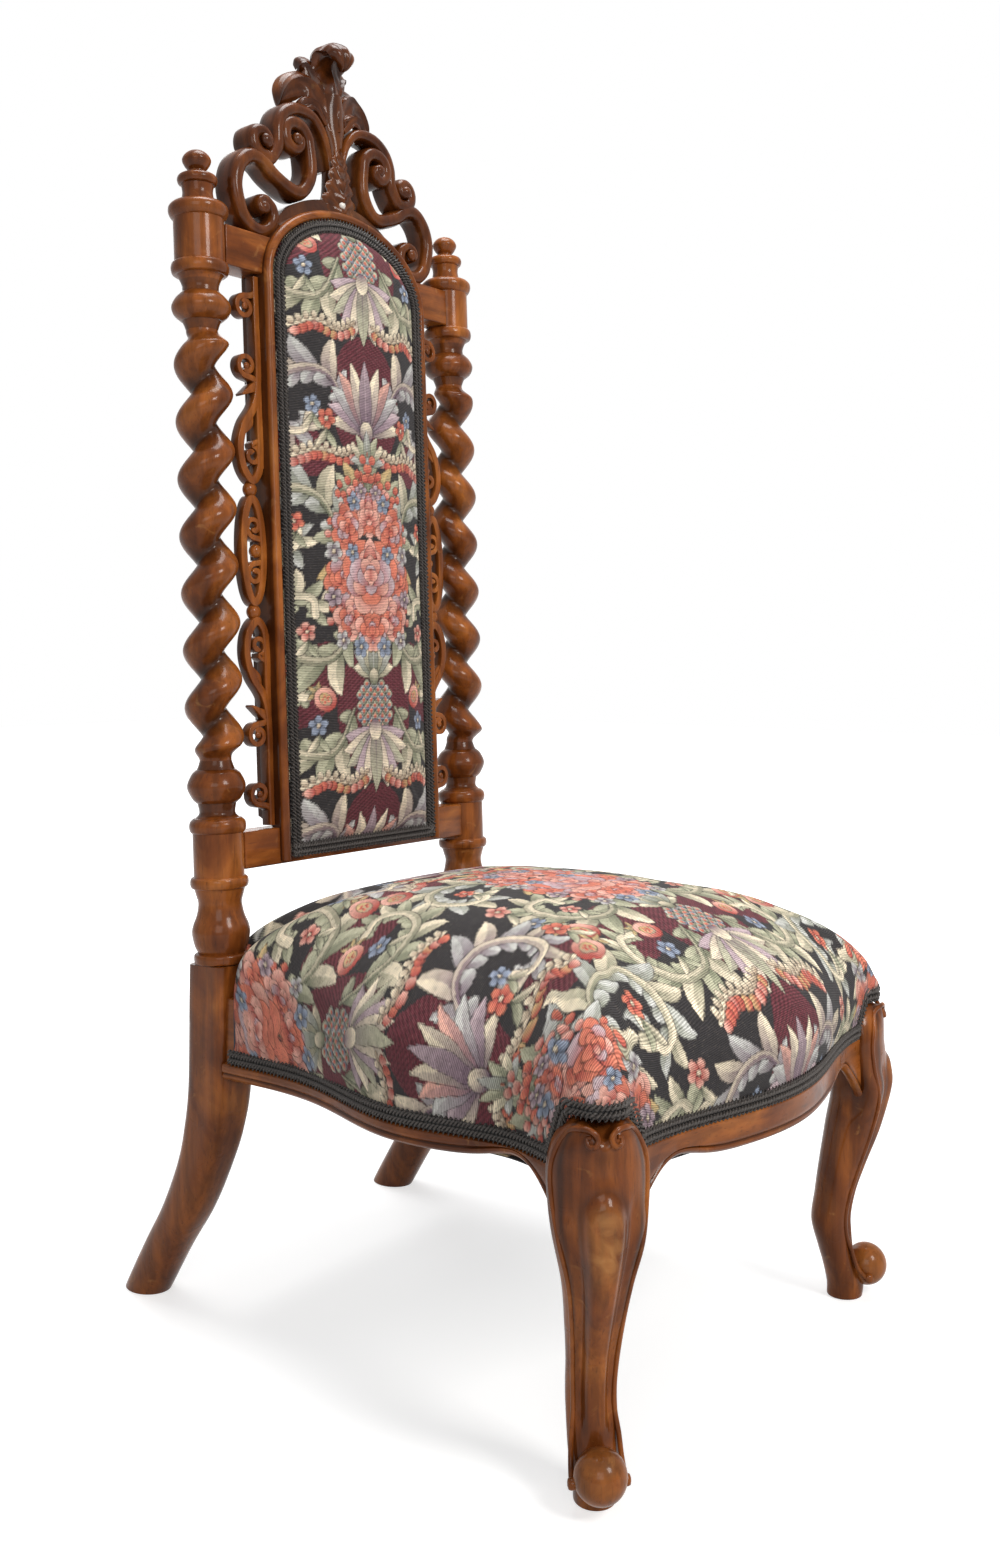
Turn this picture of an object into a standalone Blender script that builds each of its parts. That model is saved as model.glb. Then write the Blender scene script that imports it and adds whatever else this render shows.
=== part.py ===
"""Victorian side chair: low sprung seat, barley-twist back posts, padded panel and carved crest.

Metres, +Z up. The chair faces -Y and its back leans towards +Y.
The origin is on the floor, at the middle of the chair's footprint.
"""
import math

import bmesh
import bpy
from mathutils import Matrix, Vector

# Clearances
GAP = 0.0003                # between the faces of neighbouring pieces
NOTCH_GAP = 0.0006          # between the seat's fabric and the back legs

# Back posts: turned, with a single-start barley twist
RAKE = math.radians(2.25)   # lean of the back
RAKE_PIVOT = 0.36           # height at which the leaning axis stands over the back leg
BLOCK_RADIUS = 0.0220       # plain drums that take the rails
POST_FOOT = 0.3116          # bottom of the turned post, on the back leg
FOOT_TURNING = 0.0749       # from there to the lower drum
LOWER_DRUM_LENGTH = 0.0380
BALL_TURNING = 0.0630       # lower drum to the twist
TWIST_LENGTH = 0.3725
BEAD_TURNING = 0.0590       # twist to the upper drum
UPPER_DRUM_LENGTH = 0.0370
CAP_TURNING = 0.0150        # upper drum to the finial
TWIST_PITCH = 0.0495
TWIST_CREST = 0.0250        # largest radius of the strand
TWIST_ROOT = 0.0098         # radius at the bottom of the groove
TWIST_PHASE = math.radians(138.3)
TWIST_PHASE_DROP = 0.0301   # below the twist's top end, where the strand faces TWIST_PHASE
TWIST_RUN_OUT = 0.014
POST_SPIGOT = (0.0090, 0.034)    # radius and length of the pin into the leg
FINIAL_SPIGOT = (0.0050, 0.018)
POST_SIDES = 10

# Heights along the posts
LOWER_DRUM = (POST_FOOT + FOOT_TURNING, POST_FOOT + FOOT_TURNING + LOWER_DRUM_LENGTH)
TWIST_SPAN = (LOWER_DRUM[1] + BALL_TURNING, LOWER_DRUM[1] + BALL_TURNING + TWIST_LENGTH)
UPPER_DRUM = (TWIST_SPAN[1] + BEAD_TURNING, TWIST_SPAN[1] + BEAD_TURNING + UPPER_DRUM_LENGTH)
POST_TOP = UPPER_DRUM[1] + CAP_TURNING

# Back legs
BACK_LEG_HALF = (0.0210, 0.0225)
BACK_FOOT_Y = 0.0990
BACK_FOOT_HALF = (0.0190, 0.0230)
BACK_LEG_TOP = POST_FOOT - GAP

# Back frame, in the plane of the leaning back
RAIL_FRONT = 0.0145         # ahead of the post axis
RAIL_BACK = 0.0125          # behind the post axis
TOP_RAIL_SET = (0.0005, 0.0015)           # top rail's lower and upper edges inside the upper drum
BOTTOM_RAIL_SET = (0.0045, 0.0011)        # the same at the bottom rail
STILE_SET = 0.0030                        # stile's foot above the bottom rail's lower edge
PANEL_HALF = 0.1085         # outer half width of the panel frame
STILE_WIDTH = 0.0270
ARCH_RISE = 0.0775
TACK_FRONT = 0.0175         # face that the panel's fabric is tacked to
BEAD_RADIUS = 0.0042
FACING_LIFT = 0.4           # degrees of the arch left clear at its springing
FACING_ROOT = 0.0030        # depth of the facing inside the top rail
RAIL_TENON = (0.0100, 0.0220, 0.0040)     # thickness, height, distance short of the post axis
STILE_TENON = (0.0120, 0.0090, 0.0130)    # width, thickness, length
WING_BOTTOM = UPPER_DRUM[0] + TOP_RAIL_SET[0]
WING_TOP = UPPER_DRUM[1] - TOP_RAIL_SET[1]
BOTTOM_RAIL = (LOWER_DRUM[0] + BOTTOM_RAIL_SET[0], LOWER_DRUM[1] - BOTTOM_RAIL_SET[1])
STILE_FOOT = BOTTOM_RAIL[0] + STILE_SET

# Panel upholstery
CLOTH = 0.0015
HESSIAN_HALF = 0.0920
PAD_HALF = 0.0862
PAD_CROWN = 0.0110
COVER_HALF = 0.0990
BRAID_WIDTH = 0.0120
BRAID_DEPTH = 0.0022

# Frets beside the panel
FRET_DEPTH = 0.0100
FRET_MIDDLE_Y = -0.0045
FRET_RIB = 0.0062
FRET_REACH = 0.0297         # from the panel's frame towards the post
FRET_POST_GAP = 0.0045
FRET_RAIL_GAP = 0.0015
FRET_MIDDLE = (WING_BOTTOM + BOTTOM_RAIL[1]) / 2
FRET_HALF = (WING_BOTTOM - BOTTOM_RAIL[1]) / 2 - FRET_RAIL_GAP

# Post axis to the chair's middle: the panel, the fret and the post stand side by side.
POST_X = PANEL_HALF + GAP + FRET_REACH + FRET_POST_GAP + TWIST_CREST

# Crest
CREST_DEPTH = 0.0240
CREST_RIB = 0.0125
CREST_RISE = 0.1630         # above the crown of the panel's arch
LEAF_SET_BACK = 0.0050
CREST_DOWEL = (0.0040, 0.0240, 0.0320)    # radius, length, distance from the middle
CREST_BASE = WING_BOTTOM + ARCH_RISE

# Front legs: cabriole, set on the diagonal
FRONT_LEG_X = 0.206
FRONT_LEG_Y = -0.419
KNEE_HALF = 0.0355
KNEE_REACH = 0.0335                       # knee's furthest point along the diagonal
KNEE_POWER = 1.45                         # roundness of the knee's section
KNEE_SIDE = 0.0250                        # leg axis to the knee's side, along either rail
BLOCK_INNER = 0.0310
BLOCK_OUTER = 0.0160                      # the leg's top, hidden inside the fabric
TOE_RADIUS = 0.0185
TOE_CENTRE = (0.0165, 0.0270)             # outward along the diagonal, height

# Seat frame
LIP_BOTTOM = 0.2165
LIP_TOP = 0.2305
LIP_DEPTH = 0.0090
RAIL_BOTTOM = 0.2215
RAIL_TOP = 0.2850
RAIL_THICK = 0.0260
TACK_INSET = 0.0055
FRONT_SET = 0.0100                        # front rail's ends ahead of the leg axis
FRONT_BOW = 0.0400
SIDE_BOW = 0.0100
SIDE_SET = (0.0195, 0.0165)               # side rail's edge outside the back and front leg axes
SEAT_BACK_Y = 0.0120
SEAT_TENON = (0.0090, 0.0300, 0.0180)     # thickness, height, length
SEAT_TENON_DROP = 0.0040                  # below the rail's middle
TENON_ROOT = 0.0120                       # buried in the rail that it grows from
BLOCK_FACE = 0.0220                       # front leg's axis to where the tenons enter it
BACK_TENON_SHIFT = 0.0060                 # back rail's tenons behind its middle
CORNER_BLOCK = (0.2380, 0.2660)           # bottom and top
SCREW = (0.0018, 0.0040, 0.0030)          # shank radius, head radius, head height
SCREW_LENGTH = 0.0400
SCREW_START = 0.0700                      # leg axis to the screw's head

# Seat upholstery
SEAT_CROWN = 0.3810
SHOULDER_FRONT = 0.3060
SHOULDER_BACK = 0.3270
SEAT_CLOTH = 0.0018
COVER_INSET = 0.0032
COVER_OVERHANG = 0.0040
KNEE_RISE = 0.0400                        # how far the fabric's edge climbs over the knee
KNEE_RAMP = 0.0120                        # length of that climb beside the knee
WEB_WIDTH = 0.0500
WEB_THICK = 0.0015
WEB_X = (-0.085, 0.0, 0.085)
WEB_Y = (-0.120, -0.215, -0.310)
SPRING_RADIUS = 0.0300
SPRING_WAIST = 0.0220
SPRING_WIRE = 0.0016
SPRING_TURNS = 3.25
SPRING_POINTS = 8

KNEE_LEDGE = LIP_TOP + KNEE_RISE - 0.0035

# The origin is half way between the cushion's front and the heels of the back feet.
ORIGIN_Y = (FRONT_SET - FRONT_LEG_Y + FRONT_BOW + COVER_OVERHANG - BACK_FOOT_Y - BACK_FOOT_HALF[1]) / 2


# Scene helpers

def clear_scene():
    for item in list(bpy.data.objects):
        bpy.data.objects.remove(item, do_unlink=True)


def new_collection(name):
    collection = bpy.data.collections.new(name)
    bpy.context.scene.collection.children.link(collection)
    return collection


def principled(name, colour, roughness, metallic=0.0):
    material = bpy.data.materials.new(name)
    material.use_nodes = True
    shader = material.node_tree.nodes["Principled BSDF"]
    shader.inputs["Base Color"].default_value = (*colour, 1.0)
    shader.inputs["Roughness"].default_value = roughness
    shader.inputs["Metallic"].default_value = metallic
    return material


def add_empty(name, location, rotation=(0.0, 0.0, 0.0), parent=None):
    empty = bpy.data.objects.new(name, None)
    empty.location = location
    empty.rotation_euler = rotation
    empty.parent = parent
    PARTS.objects.link(empty)
    return empty


def add_part(name, mesh, look, parent):
    """One sub-part: a named object with its own copy of a material."""
    part = bpy.data.objects.new(name, mesh)
    material = look.copy()
    material.name = name
    mesh.materials.clear()
    mesh.materials.append(material)
    mesh.shade_smooth()
    mesh.set_sharp_from_angle(angle=math.radians(40))
    part.parent = parent
    PARTS.objects.link(part)
    return part


def add_tool(mesh, parent):
    """A hidden helper solid, used only to cut or join other parts."""
    tool = bpy.data.objects.new(mesh.name, mesh)
    tool.parent = parent
    tool.hide_render = True
    tool.display_type = "WIRE"
    TOOLS.objects.link(tool)
    return tool


def boolean(part, tool, operation):
    modifier = part.modifiers.new(operation.lower() + "_" + tool.name, "BOOLEAN")
    modifier.operation = operation
    modifier.solver = "EXACT"
    modifier.object = tool


# Mesh helpers

def finish_mesh(bm, name):
    bmesh.ops.recalc_face_normals(bm, faces=bm.faces)
    mesh = bpy.data.meshes.new(name)
    bm.to_mesh(mesh)
    bm.free()
    return mesh


def loft(name, rings, cyclic=False, split=False):
    """Skin over matching rings of points, capped at both ends or joined into a loop.

    Split skins have their quads cut along the shorter diagonal, so that nested ones stay apart.
    """
    bm = bmesh.new()
    loops = [[bm.verts.new(point) for point in ring] for ring in rings]
    pairs = list(zip(loops, loops[1:]))
    if cyclic:
        pairs.append((loops[-1], loops[0]))
    for first, second in pairs:
        for i in range(len(first)):
            j = (i + 1) % len(first)
            quad = (first[i], first[j], second[j], second[i])
            if not split:
                bm.faces.new(quad)
                continue
            a, b, c, d = quad
            if (a.co - c.co).length < (b.co - d.co).length:
                bm.faces.new((a, b, c))
                bm.faces.new((a, c, d))
            else:
                bm.faces.new((a, b, d))
                bm.faces.new((b, c, d))
    if not cyclic:
        bm.faces.new(reversed(loops[0]))
        bm.faces.new(loops[-1])
    return finish_mesh(bm, name)


def box(name, low, high):
    bm = bmesh.new()
    bmesh.ops.create_cube(bm, size=1.0)
    corners = [sorted(pair) for pair in zip(low, high)]
    size = Vector([top - bottom for bottom, top in corners])
    middle = Vector([(top + bottom) / 2 for bottom, top in corners])
    bmesh.ops.scale(bm, vec=size, verts=bm.verts)
    bmesh.ops.translate(bm, vec=middle, verts=bm.verts)
    return finish_mesh(bm, name)


def rod(name, start, end, radius, sides=10):
    """A cylinder between two points."""
    start = Vector(start)
    axis = Vector(end) - start
    turn = axis.to_track_quat("Z", "Y").to_matrix().to_4x4()
    place = Matrix.Translation(start + axis / 2) @ turn
    bm = bmesh.new()
    bmesh.ops.create_cone(bm, cap_ends=True, segments=sides, radius1=radius, radius2=radius,
                          depth=axis.length, matrix=place)
    return finish_mesh(bm, name)


def bore(name, start, end, radius, sides=10):
    """A drill for a pin of the given radius: its flats clear the pin all round."""
    return rod(name, start, end, (radius + GAP) / math.cos(math.pi / sides), sides)


def grown(low, high, gap):
    """The box's corners, moved outwards by a clearance."""
    corners = [sorted(pair) for pair in zip(low, high)]
    return [bottom - gap for bottom, _ in corners], [top + gap for _, top in corners]


def tenon(male, female, low, high, parent):
    """Join a tenon to one part, and cut its mortise in the other."""
    boolean(male, add_tool(box("tenon_" + male.name, low, high), parent), "UNION")
    mortise = box("mortise_" + female.name, *grown(low, high, GAP))
    boolean(female, add_tool(mortise, parent), "DIFFERENCE")


def evaluated_mesh(name, source):
    """The mesh of a curve or modified object as it stands, with the source removed."""
    bpy.context.view_layer.update()
    graph = bpy.context.evaluated_depsgraph_get()
    mesh = bpy.data.meshes.new_from_object(source.evaluated_get(graph))
    mesh.name = name
    mesh.transform(source.matrix_world)
    bpy.data.objects.remove(source, do_unlink=True)
    bm = bmesh.new()
    bm.from_mesh(mesh)
    bmesh.ops.remove_doubles(bm, verts=bm.verts, dist=1e-6)
    bmesh.ops.recalc_face_normals(bm, faces=bm.faces)
    bm.to_mesh(mesh)
    bm.free()
    return mesh


def plate(name, outlines, back, front):
    """A flat outline in X and Z, with any holes as further outlines, made into a board."""
    curve = bpy.data.curves.new(name, "CURVE")
    curve.dimensions = "2D"
    curve.fill_mode = "BOTH"
    curve.extrude = (back - front) / 2
    for outline in outlines:
        spline = curve.splines.new("POLY")
        spline.points.add(len(outline) - 1)
        for point, (x, z) in zip(spline.points, outline):
            point.co = (x, z, 0.0, 1.0)
        spline.use_cyclic_u = True
    board = bpy.data.objects.new(name, curve)
    board.rotation_euler = (math.pi / 2, 0.0, 0.0)
    board.location = (0.0, (back + front) / 2, 0.0)
    TOOLS.objects.link(board)
    return evaluated_mesh(name, board)


def tube(name, points, radius, resolution):
    """A round bar along a row of points."""
    curve = bpy.data.curves.new(name, "CURVE")
    curve.dimensions = "3D"
    curve.bevel_depth = radius
    curve.bevel_resolution = resolution
    curve.use_fill_caps = True
    spline = curve.splines.new("POLY")
    spline.points.add(len(points) - 1)
    for point, place in zip(spline.points, points):
        point.co = (*place, 1.0)
    bar = bpy.data.objects.new(name, curve)
    TOOLS.objects.link(bar)
    return evaluated_mesh(name, bar)


def turned(name, profile, sides):
    """A lathe-turned mesh from (height, radius) points that run from the top down."""
    mesh = bpy.data.meshes.new(name + "_profile")
    edges = [(i, i + 1) for i in range(len(profile) - 1)]
    mesh.from_pydata([(radius, 0.0, height) for height, radius in profile], edges, [])
    blank = bpy.data.objects.new(name, mesh)
    TOOLS.objects.link(blank)
    screw = blank.modifiers.new("turn", "SCREW")
    screw.steps = sides
    screw.render_steps = sides
    screw.use_merge_vertices = True
    screw.merge_threshold = 1e-5
    return evaluated_mesh(name, blank)


def moved(mesh, offset):
    mesh.transform(Matrix.Translation(offset))
    return mesh


# Curves in a plane

def smooth_path(points, per_span=4):
    """Points on a Catmull-Rom curve through the given ones."""
    rows = [Vector(point) for point in points]
    rows = [2 * rows[0] - rows[1]] + rows + [2 * rows[-1] - rows[-2]]
    path = []
    for a, b, c, d in zip(rows, rows[1:], rows[2:], rows[3:]):
        for step in range(per_span):
            t = step / per_span
            path.append(0.5 * (2 * b + (c - a) * t + (2 * a - 5 * b + 4 * c - d) * t * t
                               + (3 * b - a - 3 * c + d) * t ** 3))
    path.append(rows[-2])
    return path


def spread(values, share):
    """The value at a share of the way along an evenly spaced row of values."""
    place = share * (len(values) - 1)
    k = min(int(place), len(values) - 2)
    return values[k] + (values[k + 1] - values[k]) * (place - k)


def volute(centre, radii, start, sweep, count):
    """Points on a spiral, from its mouth to its eye. The radii are spread evenly over the sweep."""
    points = []
    for i in range(count + 1):
        radius = spread(radii, i / count)
        angle = math.radians(start + sweep * i / count)
        points.append(Vector((centre[0] + radius * math.cos(angle), centre[1] + radius * math.sin(angle))))
    return points


def ribbon(path, *widths):
    """The outline of a strip along a path. Its widths are spread evenly from end to end."""
    left = []
    right = []
    for i, point in enumerate(path):
        ahead = path[min(i + 1, len(path) - 1)]
        behind = path[max(i - 1, 0)]
        along = (ahead - behind).normalized()
        side = Vector((-along.y, along.x))
        half = spread(widths, i / (len(path) - 1)) / 2
        left.append(point + side * half)
        right.append(point - side * half)
    return left + right[::-1]


def ellipse(centre, half_width, half_height, start, sweep, count):
    points = []
    for i in range(count + 1):
        angle = math.radians(start + sweep * i / count)
        points.append(Vector((centre[0] + half_width * math.cos(angle),
                              centre[1] + half_height * math.sin(angle))))
    return points


def mirrored(outline):
    return [Vector((-x, z)) for x, z in outline]


def smoothstep(value):
    value = min(max(value, 0.0), 1.0)
    return value * value * (3 - 2 * value)


# Back posts and finials

def post_profile():
    """The turned outline of a post, as (height, radius) from the top down."""
    twist_bottom, twist_top = TWIST_SPAN
    spigot_radius, spigot_length = POST_SPIGOT
    rows = round(TWIST_LENGTH / TWIST_PITCH * 5.5)
    # Each stretch is (top, length, points), with the points as shares of its length and of the drum's radius.
    cap = ((0.0, 0.864), (0.10, 1.023), (0.35, 1.168), (0.65, 1.168), (1.0, 1.0))
    bead = ((0.0, 1.0), (0.034, 1.091), (0.102, 1.136), (0.186, 1.068), (0.254, 0.909), (0.356, 0.709),
            (0.475, 0.750), (0.543, 1.023), (0.661, 1.168), (0.780, 1.055), (0.864, 0.809), (0.966, 0.682))
    ball = ((0.127, 0.764), (0.198, 0.977), (0.357, 1.145), (0.516, 0.964), (0.587, 0.795), (0.722, 0.705),
            (0.794, 0.864), (0.841, 1.068), (0.905, 1.114), (0.968, 1.082), (1.0, 1.0))
    foot = ((0.0, 1.0), (0.020, 1.136), (0.080, 1.145), (0.134, 1.055), (0.214, 0.932), (0.307, 0.850),
            (0.447, 0.932), (0.554, 1.091), (0.647, 1.136), (0.780, 1.055), (0.880, 0.909), (0.900, 1.082),
            (1.0, 1.082))
    profile = [(POST_TOP, 0.0)]
    for top, length, points in ((POST_TOP, CAP_TURNING, cap), (UPPER_DRUM[0], BEAD_TURNING, bead)):
        profile += [(top - length * share, BLOCK_RADIUS * radius) for share, radius in points]
    profile += [(twist_top - TWIST_LENGTH * i / rows, TWIST_CREST) for i in range(rows + 1)]
    for top, length, points in ((twist_bottom, BALL_TURNING, ball), (LOWER_DRUM[0], FOOT_TURNING, foot)):
        profile += [(top - length * share, BLOCK_RADIUS * radius) for share, radius in points]
    profile += [(POST_FOOT, spigot_radius), (POST_FOOT - spigot_length, spigot_radius),
                (POST_FOOT - spigot_length, 0.0)]
    return profile


def twist_radius(angle, height, hand):
    """Distance from the post axis to the strand's surface."""
    bottom, top = TWIST_SPAN
    turn = hand * 2 * math.pi * (height - top + TWIST_PHASE_DROP) / TWIST_PITCH
    phase = TWIST_PHASE if hand > 0 else math.pi - TWIST_PHASE
    swell = abs(math.cos((angle - phase - turn) / 2)) ** 1.2
    strand = TWIST_ROOT + (TWIST_CREST - TWIST_ROOT) * swell
    blend = smoothstep((top - height) / TWIST_RUN_OUT) * smoothstep((height - bottom) / TWIST_RUN_OUT)
    return TWIST_ROOT * 1.4 + (strand - TWIST_ROOT * 1.4) * blend


def make_post(side):
    name = "back_post_left" if side < 0 else "back_post_right"
    mesh = turned(name, post_profile(), POST_SIDES)
    for vertex in mesh.vertices:
        height = vertex.co.z
        if TWIST_SPAN[0] - GAP <= height <= TWIST_SPAN[1] + GAP:
            angle = math.atan2(vertex.co.y, vertex.co.x)
            radius = twist_radius(angle, height, -side)
            vertex.co.x = radius * math.cos(angle)
            vertex.co.y = radius * math.sin(angle)
    return add_part(name, moved(mesh, (side * POST_X, 0.0, 0.0)), WALNUT, BACK)


def make_finial(side, post):
    radius, length = FINIAL_SPIGOT
    foot = POST_TOP + GAP
    profile = [(foot + 0.0450, 0.0), (foot + 0.0438, 0.0060), (foot + 0.0405, 0.0105), (foot + 0.0360, 0.0125),
               (foot + 0.0310, 0.0105), (foot + 0.0270, 0.0073), (foot + 0.0240, 0.0090),
               (foot + 0.0215, 0.0165), (foot + 0.0170, 0.0172), (foot + 0.0145, 0.0140),
               (foot + 0.0080, 0.0132), (foot, 0.0146), (foot, radius), (foot - length, radius),
               (foot - length, 0.0)]
    name = "finial_left" if side < 0 else "finial_right"
    place = (side * POST_X, 0.0, 0.0)
    add_part(name, moved(turned(name, profile, POST_SIDES), place), WALNUT, BACK)
    socket = bore("socket_" + name, (side * POST_X, 0.0, foot - length - GAP),
                  (side * POST_X, 0.0, POST_TOP + radius), radius)
    boolean(post, add_tool(socket, BACK), "DIFFERENCE")


# Back frame

def arch(half_width, rise, count=16, lift=0.0):
    """An elliptical arch over the panel, from its right springing to its left."""
    return ellipse((0.0, WING_BOTTOM), half_width, rise, lift, 180.0 - 2 * lift, count)


def arch_inset(inset, count=12, lift=0.0):
    return arch(PANEL_HALF - inset, ARCH_RISE - inset, count, lift)


def crown_line(gap):
    """The arch's outer edge from wing to wing, at a distance from the rail's own edge."""
    level = WING_TOP + gap
    points = arch_inset(-gap, 12, FACING_LIFT)
    line = []
    for start, end in zip(points, points[1:]):
        if (start.y < level) != (end.y < level):
            line.append(start.lerp(end, (level - start.y) / (end.y - start.y)))
        if end.y >= level:
            line.append(end)
    return line


def frame_section(back, quirk):
    """Section of the panel frame as (inset from its outer edge, depth ahead of the post axis)."""
    radius = BEAD_RADIUS
    section = [(quirk, back)]
    for turn in (0, 45, 90, 135, 180):
        angle = math.radians(turn)
        section.append((quirk + radius - radius * math.cos(angle), TACK_FRONT - GAP + radius * math.sin(angle)))
    return section + [(STILE_WIDTH - quirk, TACK_FRONT), (STILE_WIDTH - quirk, back)]


def cope(rail, drum):
    """Scribe a rail's ends round the posts' drums."""
    for side in (-1, 1):
        drum_tool = bore("drum_" + rail.name, (side * POST_X, 0.0, drum[0] - BLOCK_RADIUS),
                         (side * POST_X, 0.0, drum[1] + BLOCK_RADIUS), BLOCK_RADIUS, 24)
        boolean(rail, add_tool(drum_tool, BACK), "DIFFERENCE")


def tenon_into_posts(rail, posts, middle):
    thick, high, short = RAIL_TENON
    for side, post in posts.items():
        low = (side * (POST_X - BLOCK_RADIUS - 0.012), -thick / 2, middle - high / 2)
        top = (side * (POST_X - short), thick / 2, middle + high / 2)
        tenon(rail, post, low, top, BACK)


def make_top_rail(posts):
    opening = arch_inset(STILE_WIDTH)[::-1]
    outline = [(POST_X, WING_TOP)] + crown_line(0.0) + [(-POST_X, WING_TOP), (-POST_X, WING_BOTTOM)]
    outline += opening + [(POST_X, WING_BOTTOM)]
    rail = add_part("back_top_rail", plate("back_top_rail", [outline], RAIL_BACK, -RAIL_FRONT), WALNUT, BACK)
    cope(rail, UPPER_DRUM)
    tenon_into_posts(rail, posts, (WING_TOP + WING_BOTTOM) / 2)
    return rail


def add_facing(rail):
    """The beaded facing of the arch. It is joined on after the rail's mortises and holes are cut."""
    loops = []
    for inset, depth in frame_section(RAIL_FRONT - FACING_ROOT, 2 * GAP):
        loops.append([(x, -depth, z) for x, z in arch_inset(inset, 12, FACING_LIFT)])
    facing = loft("facing", [list(ring) for ring in zip(*loops)])
    boolean(rail, add_tool(facing, BACK), "UNION")


def make_bottom_rail(posts):
    bottom, top = BOTTOM_RAIL
    rail = add_part("back_bottom_rail", box("back_bottom_rail", (-POST_X, RAIL_BACK, bottom),
                                            (POST_X, -RAIL_FRONT, top)), WALNUT, BACK)
    inner = PANEL_HALF - STILE_WIDTH - GAP
    facing = box("bottom_facing", (-inner, 0.0, STILE_FOOT), (inner, -TACK_FRONT, top - GAP))
    boolean(rail, add_tool(facing, BACK), "UNION")
    cope(rail, LOWER_DRUM)
    tenon_into_posts(rail, posts, (bottom + top) / 2)
    return rail


def make_stile(side, top_rail, bottom_rail):
    name = "panel_stile_left" if side < 0 else "panel_stile_right"
    inner = PANEL_HALF - STILE_WIDTH
    shoulder = BOTTOM_RAIL[1] + GAP
    head = WING_BOTTOM - GAP
    lap = -RAIL_FRONT - GAP
    section = [(side * (PANEL_HALF - inset), -depth) for inset, depth in frame_section(-RAIL_BACK, 0.0)]
    rings = [[(x, y, z) for x, y in section] for z in (STILE_FOOT, head)]
    stile = add_part(name, loft(name, rings), WALNUT, BACK)
    seat = box("lap_" + name, (side * (inner - STILE_WIDTH), lap, STILE_FOOT - STILE_WIDTH),
               (side * (PANEL_HALF + STILE_WIDTH), RAIL_BACK + STILE_WIDTH, shoulder))
    boolean(stile, add_tool(seat, BACK), "DIFFERENCE")
    width, thick, length = STILE_TENON
    middle = side * (inner + STILE_WIDTH / 2)
    for rail, start, end in ((top_rail, head - 0.004, head + length), (bottom_rail, shoulder + 0.004, shoulder - length)):
        tenon(stile, rail, (middle - width / 2, -thick / 2, start), (middle + width / 2, thick / 2, end), BACK)
    return stile


# Frets

def fret_shapes(reach):
    """Outlines of one fret's ribs: (outline, depth). X is the distance from the stile, Z from the middle."""
    rib = FRET_RIB
    edge = rib / 2
    out = reach - rib / 2
    half = FRET_HALF

    def point(across, up):
        return Vector((across, up * half))

    spine = smooth_path([point(edge, 0.99), point(edge, 0.811), point(edge, 0.617), point(0.3 * out, 0.527),
                         point(0.78 * out, 0.454), point(out, 0.377), point(0.9 * out, 0.300),
                         point(0.52 * out, 0.2535), point(0.2 * out, 0.288), point(edge, 0.357),
                         point(edge, 0.454)], 2)
    upper = [(ribbon(spine, rib * 0.8, rib), 1.0)]
    ring = 1.4 * rib
    ring_radii = (ring, ring * 0.95, ring * 0.28)
    centre = reach * 0.55
    lead = [point(edge, 0.941), point(centre * 0.62, 0.918)]
    upper.append((ribbon(lead + volute(point(centre, 0.880), ring_radii, 90, -340, 8), rib * 0.6, rib * 0.62), 0.97))
    lead = [point(edge, 0.6045), point(centre * 0.62, 0.624)]
    upper.append((ribbon(lead + volute(point(centre, 0.665), ring_radii, -90, 340, 8), rib * 0.6, rib * 0.62), 0.95))
    leaf = [point(edge, 0.6085), point(reach * 0.72, 0.566), point(reach * 0.36, 0.582), point(edge, 0.5435)]
    upper.append((leaf, 0.93))
    hook = smooth_path([point(0.80 * out, 0.430), point(0.50 * out, 0.458), point(0.46 * out, 0.503),
                        point(0.30 * out, 0.507)], 2)
    upper.append((ribbon(hook, rib * 0.8, rib * 0.45), 0.91))
    curl_radii = (1.45 * rib, rib, 0.29 * rib)
    curl = volute(point(reach * 0.44, 0.345), curl_radii, 100, 300, 7)
    upper.append((ribbon([point(edge, 0.3995)] + curl, rib * 0.7, rib * 0.55), 0.96))
    oval_curl = volute(point(reach * 0.45, 0.085), curl_radii, -80, 330, 7)
    upper.append((ribbon([point(edge, 0.0405)] + oval_curl, rib * 0.6, rib * 0.55), 0.94))
    upper.append((ellipse(point(reach * 0.47, 0.221), 1.065 * rib, 1.26 * rib, 22.5, 315, 7), 0.98))
    lower = [([Vector((x, -z)) for x, z in outline], depth) for outline, depth in upper]
    boss = (ellipse((1.7 * rib, 0.0), rib, rib, 22.5, 315, 7), 0.90)
    middle = reach / 2
    tall = 0.199 * half
    ring_outer = ellipse((middle, 0.0), middle, tall, 10, 340, 17)
    ring_inner = ellipse((middle, 0.0), middle - rib, tall - rib, 10, 340, 17)
    return upper + lower + [boss], (ring_outer, ring_inner)


def make_fret(side):
    name = "fret_left" if side < 0 else "fret_right"
    start = PANEL_HALF + GAP
    shapes, oval = fret_shapes(FRET_REACH)

    def board(label, outlines, depth):
        placed = [[(side * (start + x), FRET_MIDDLE + z) for x, z in outline] for outline in outlines]
        half = FRET_DEPTH * depth / 2
        return plate(label, placed, FRET_MIDDLE_Y + half, FRET_MIDDLE_Y - half)

    fret = add_part(name, board(name, oval, 0.99), WALNUT, BACK)
    for outline, depth in shapes:
        boolean(fret, add_tool(board("rib_" + name, [outline], depth), BACK), "UNION")
    return fret


# Crest

def crest_row(*places):
    """Places on the crest, as shares of the panel's half width and of the crest's rise over the arch."""
    return [Vector((PANEL_HALF * across, CREST_BASE + CREST_RISE * up)) for across, up in places]


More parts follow.
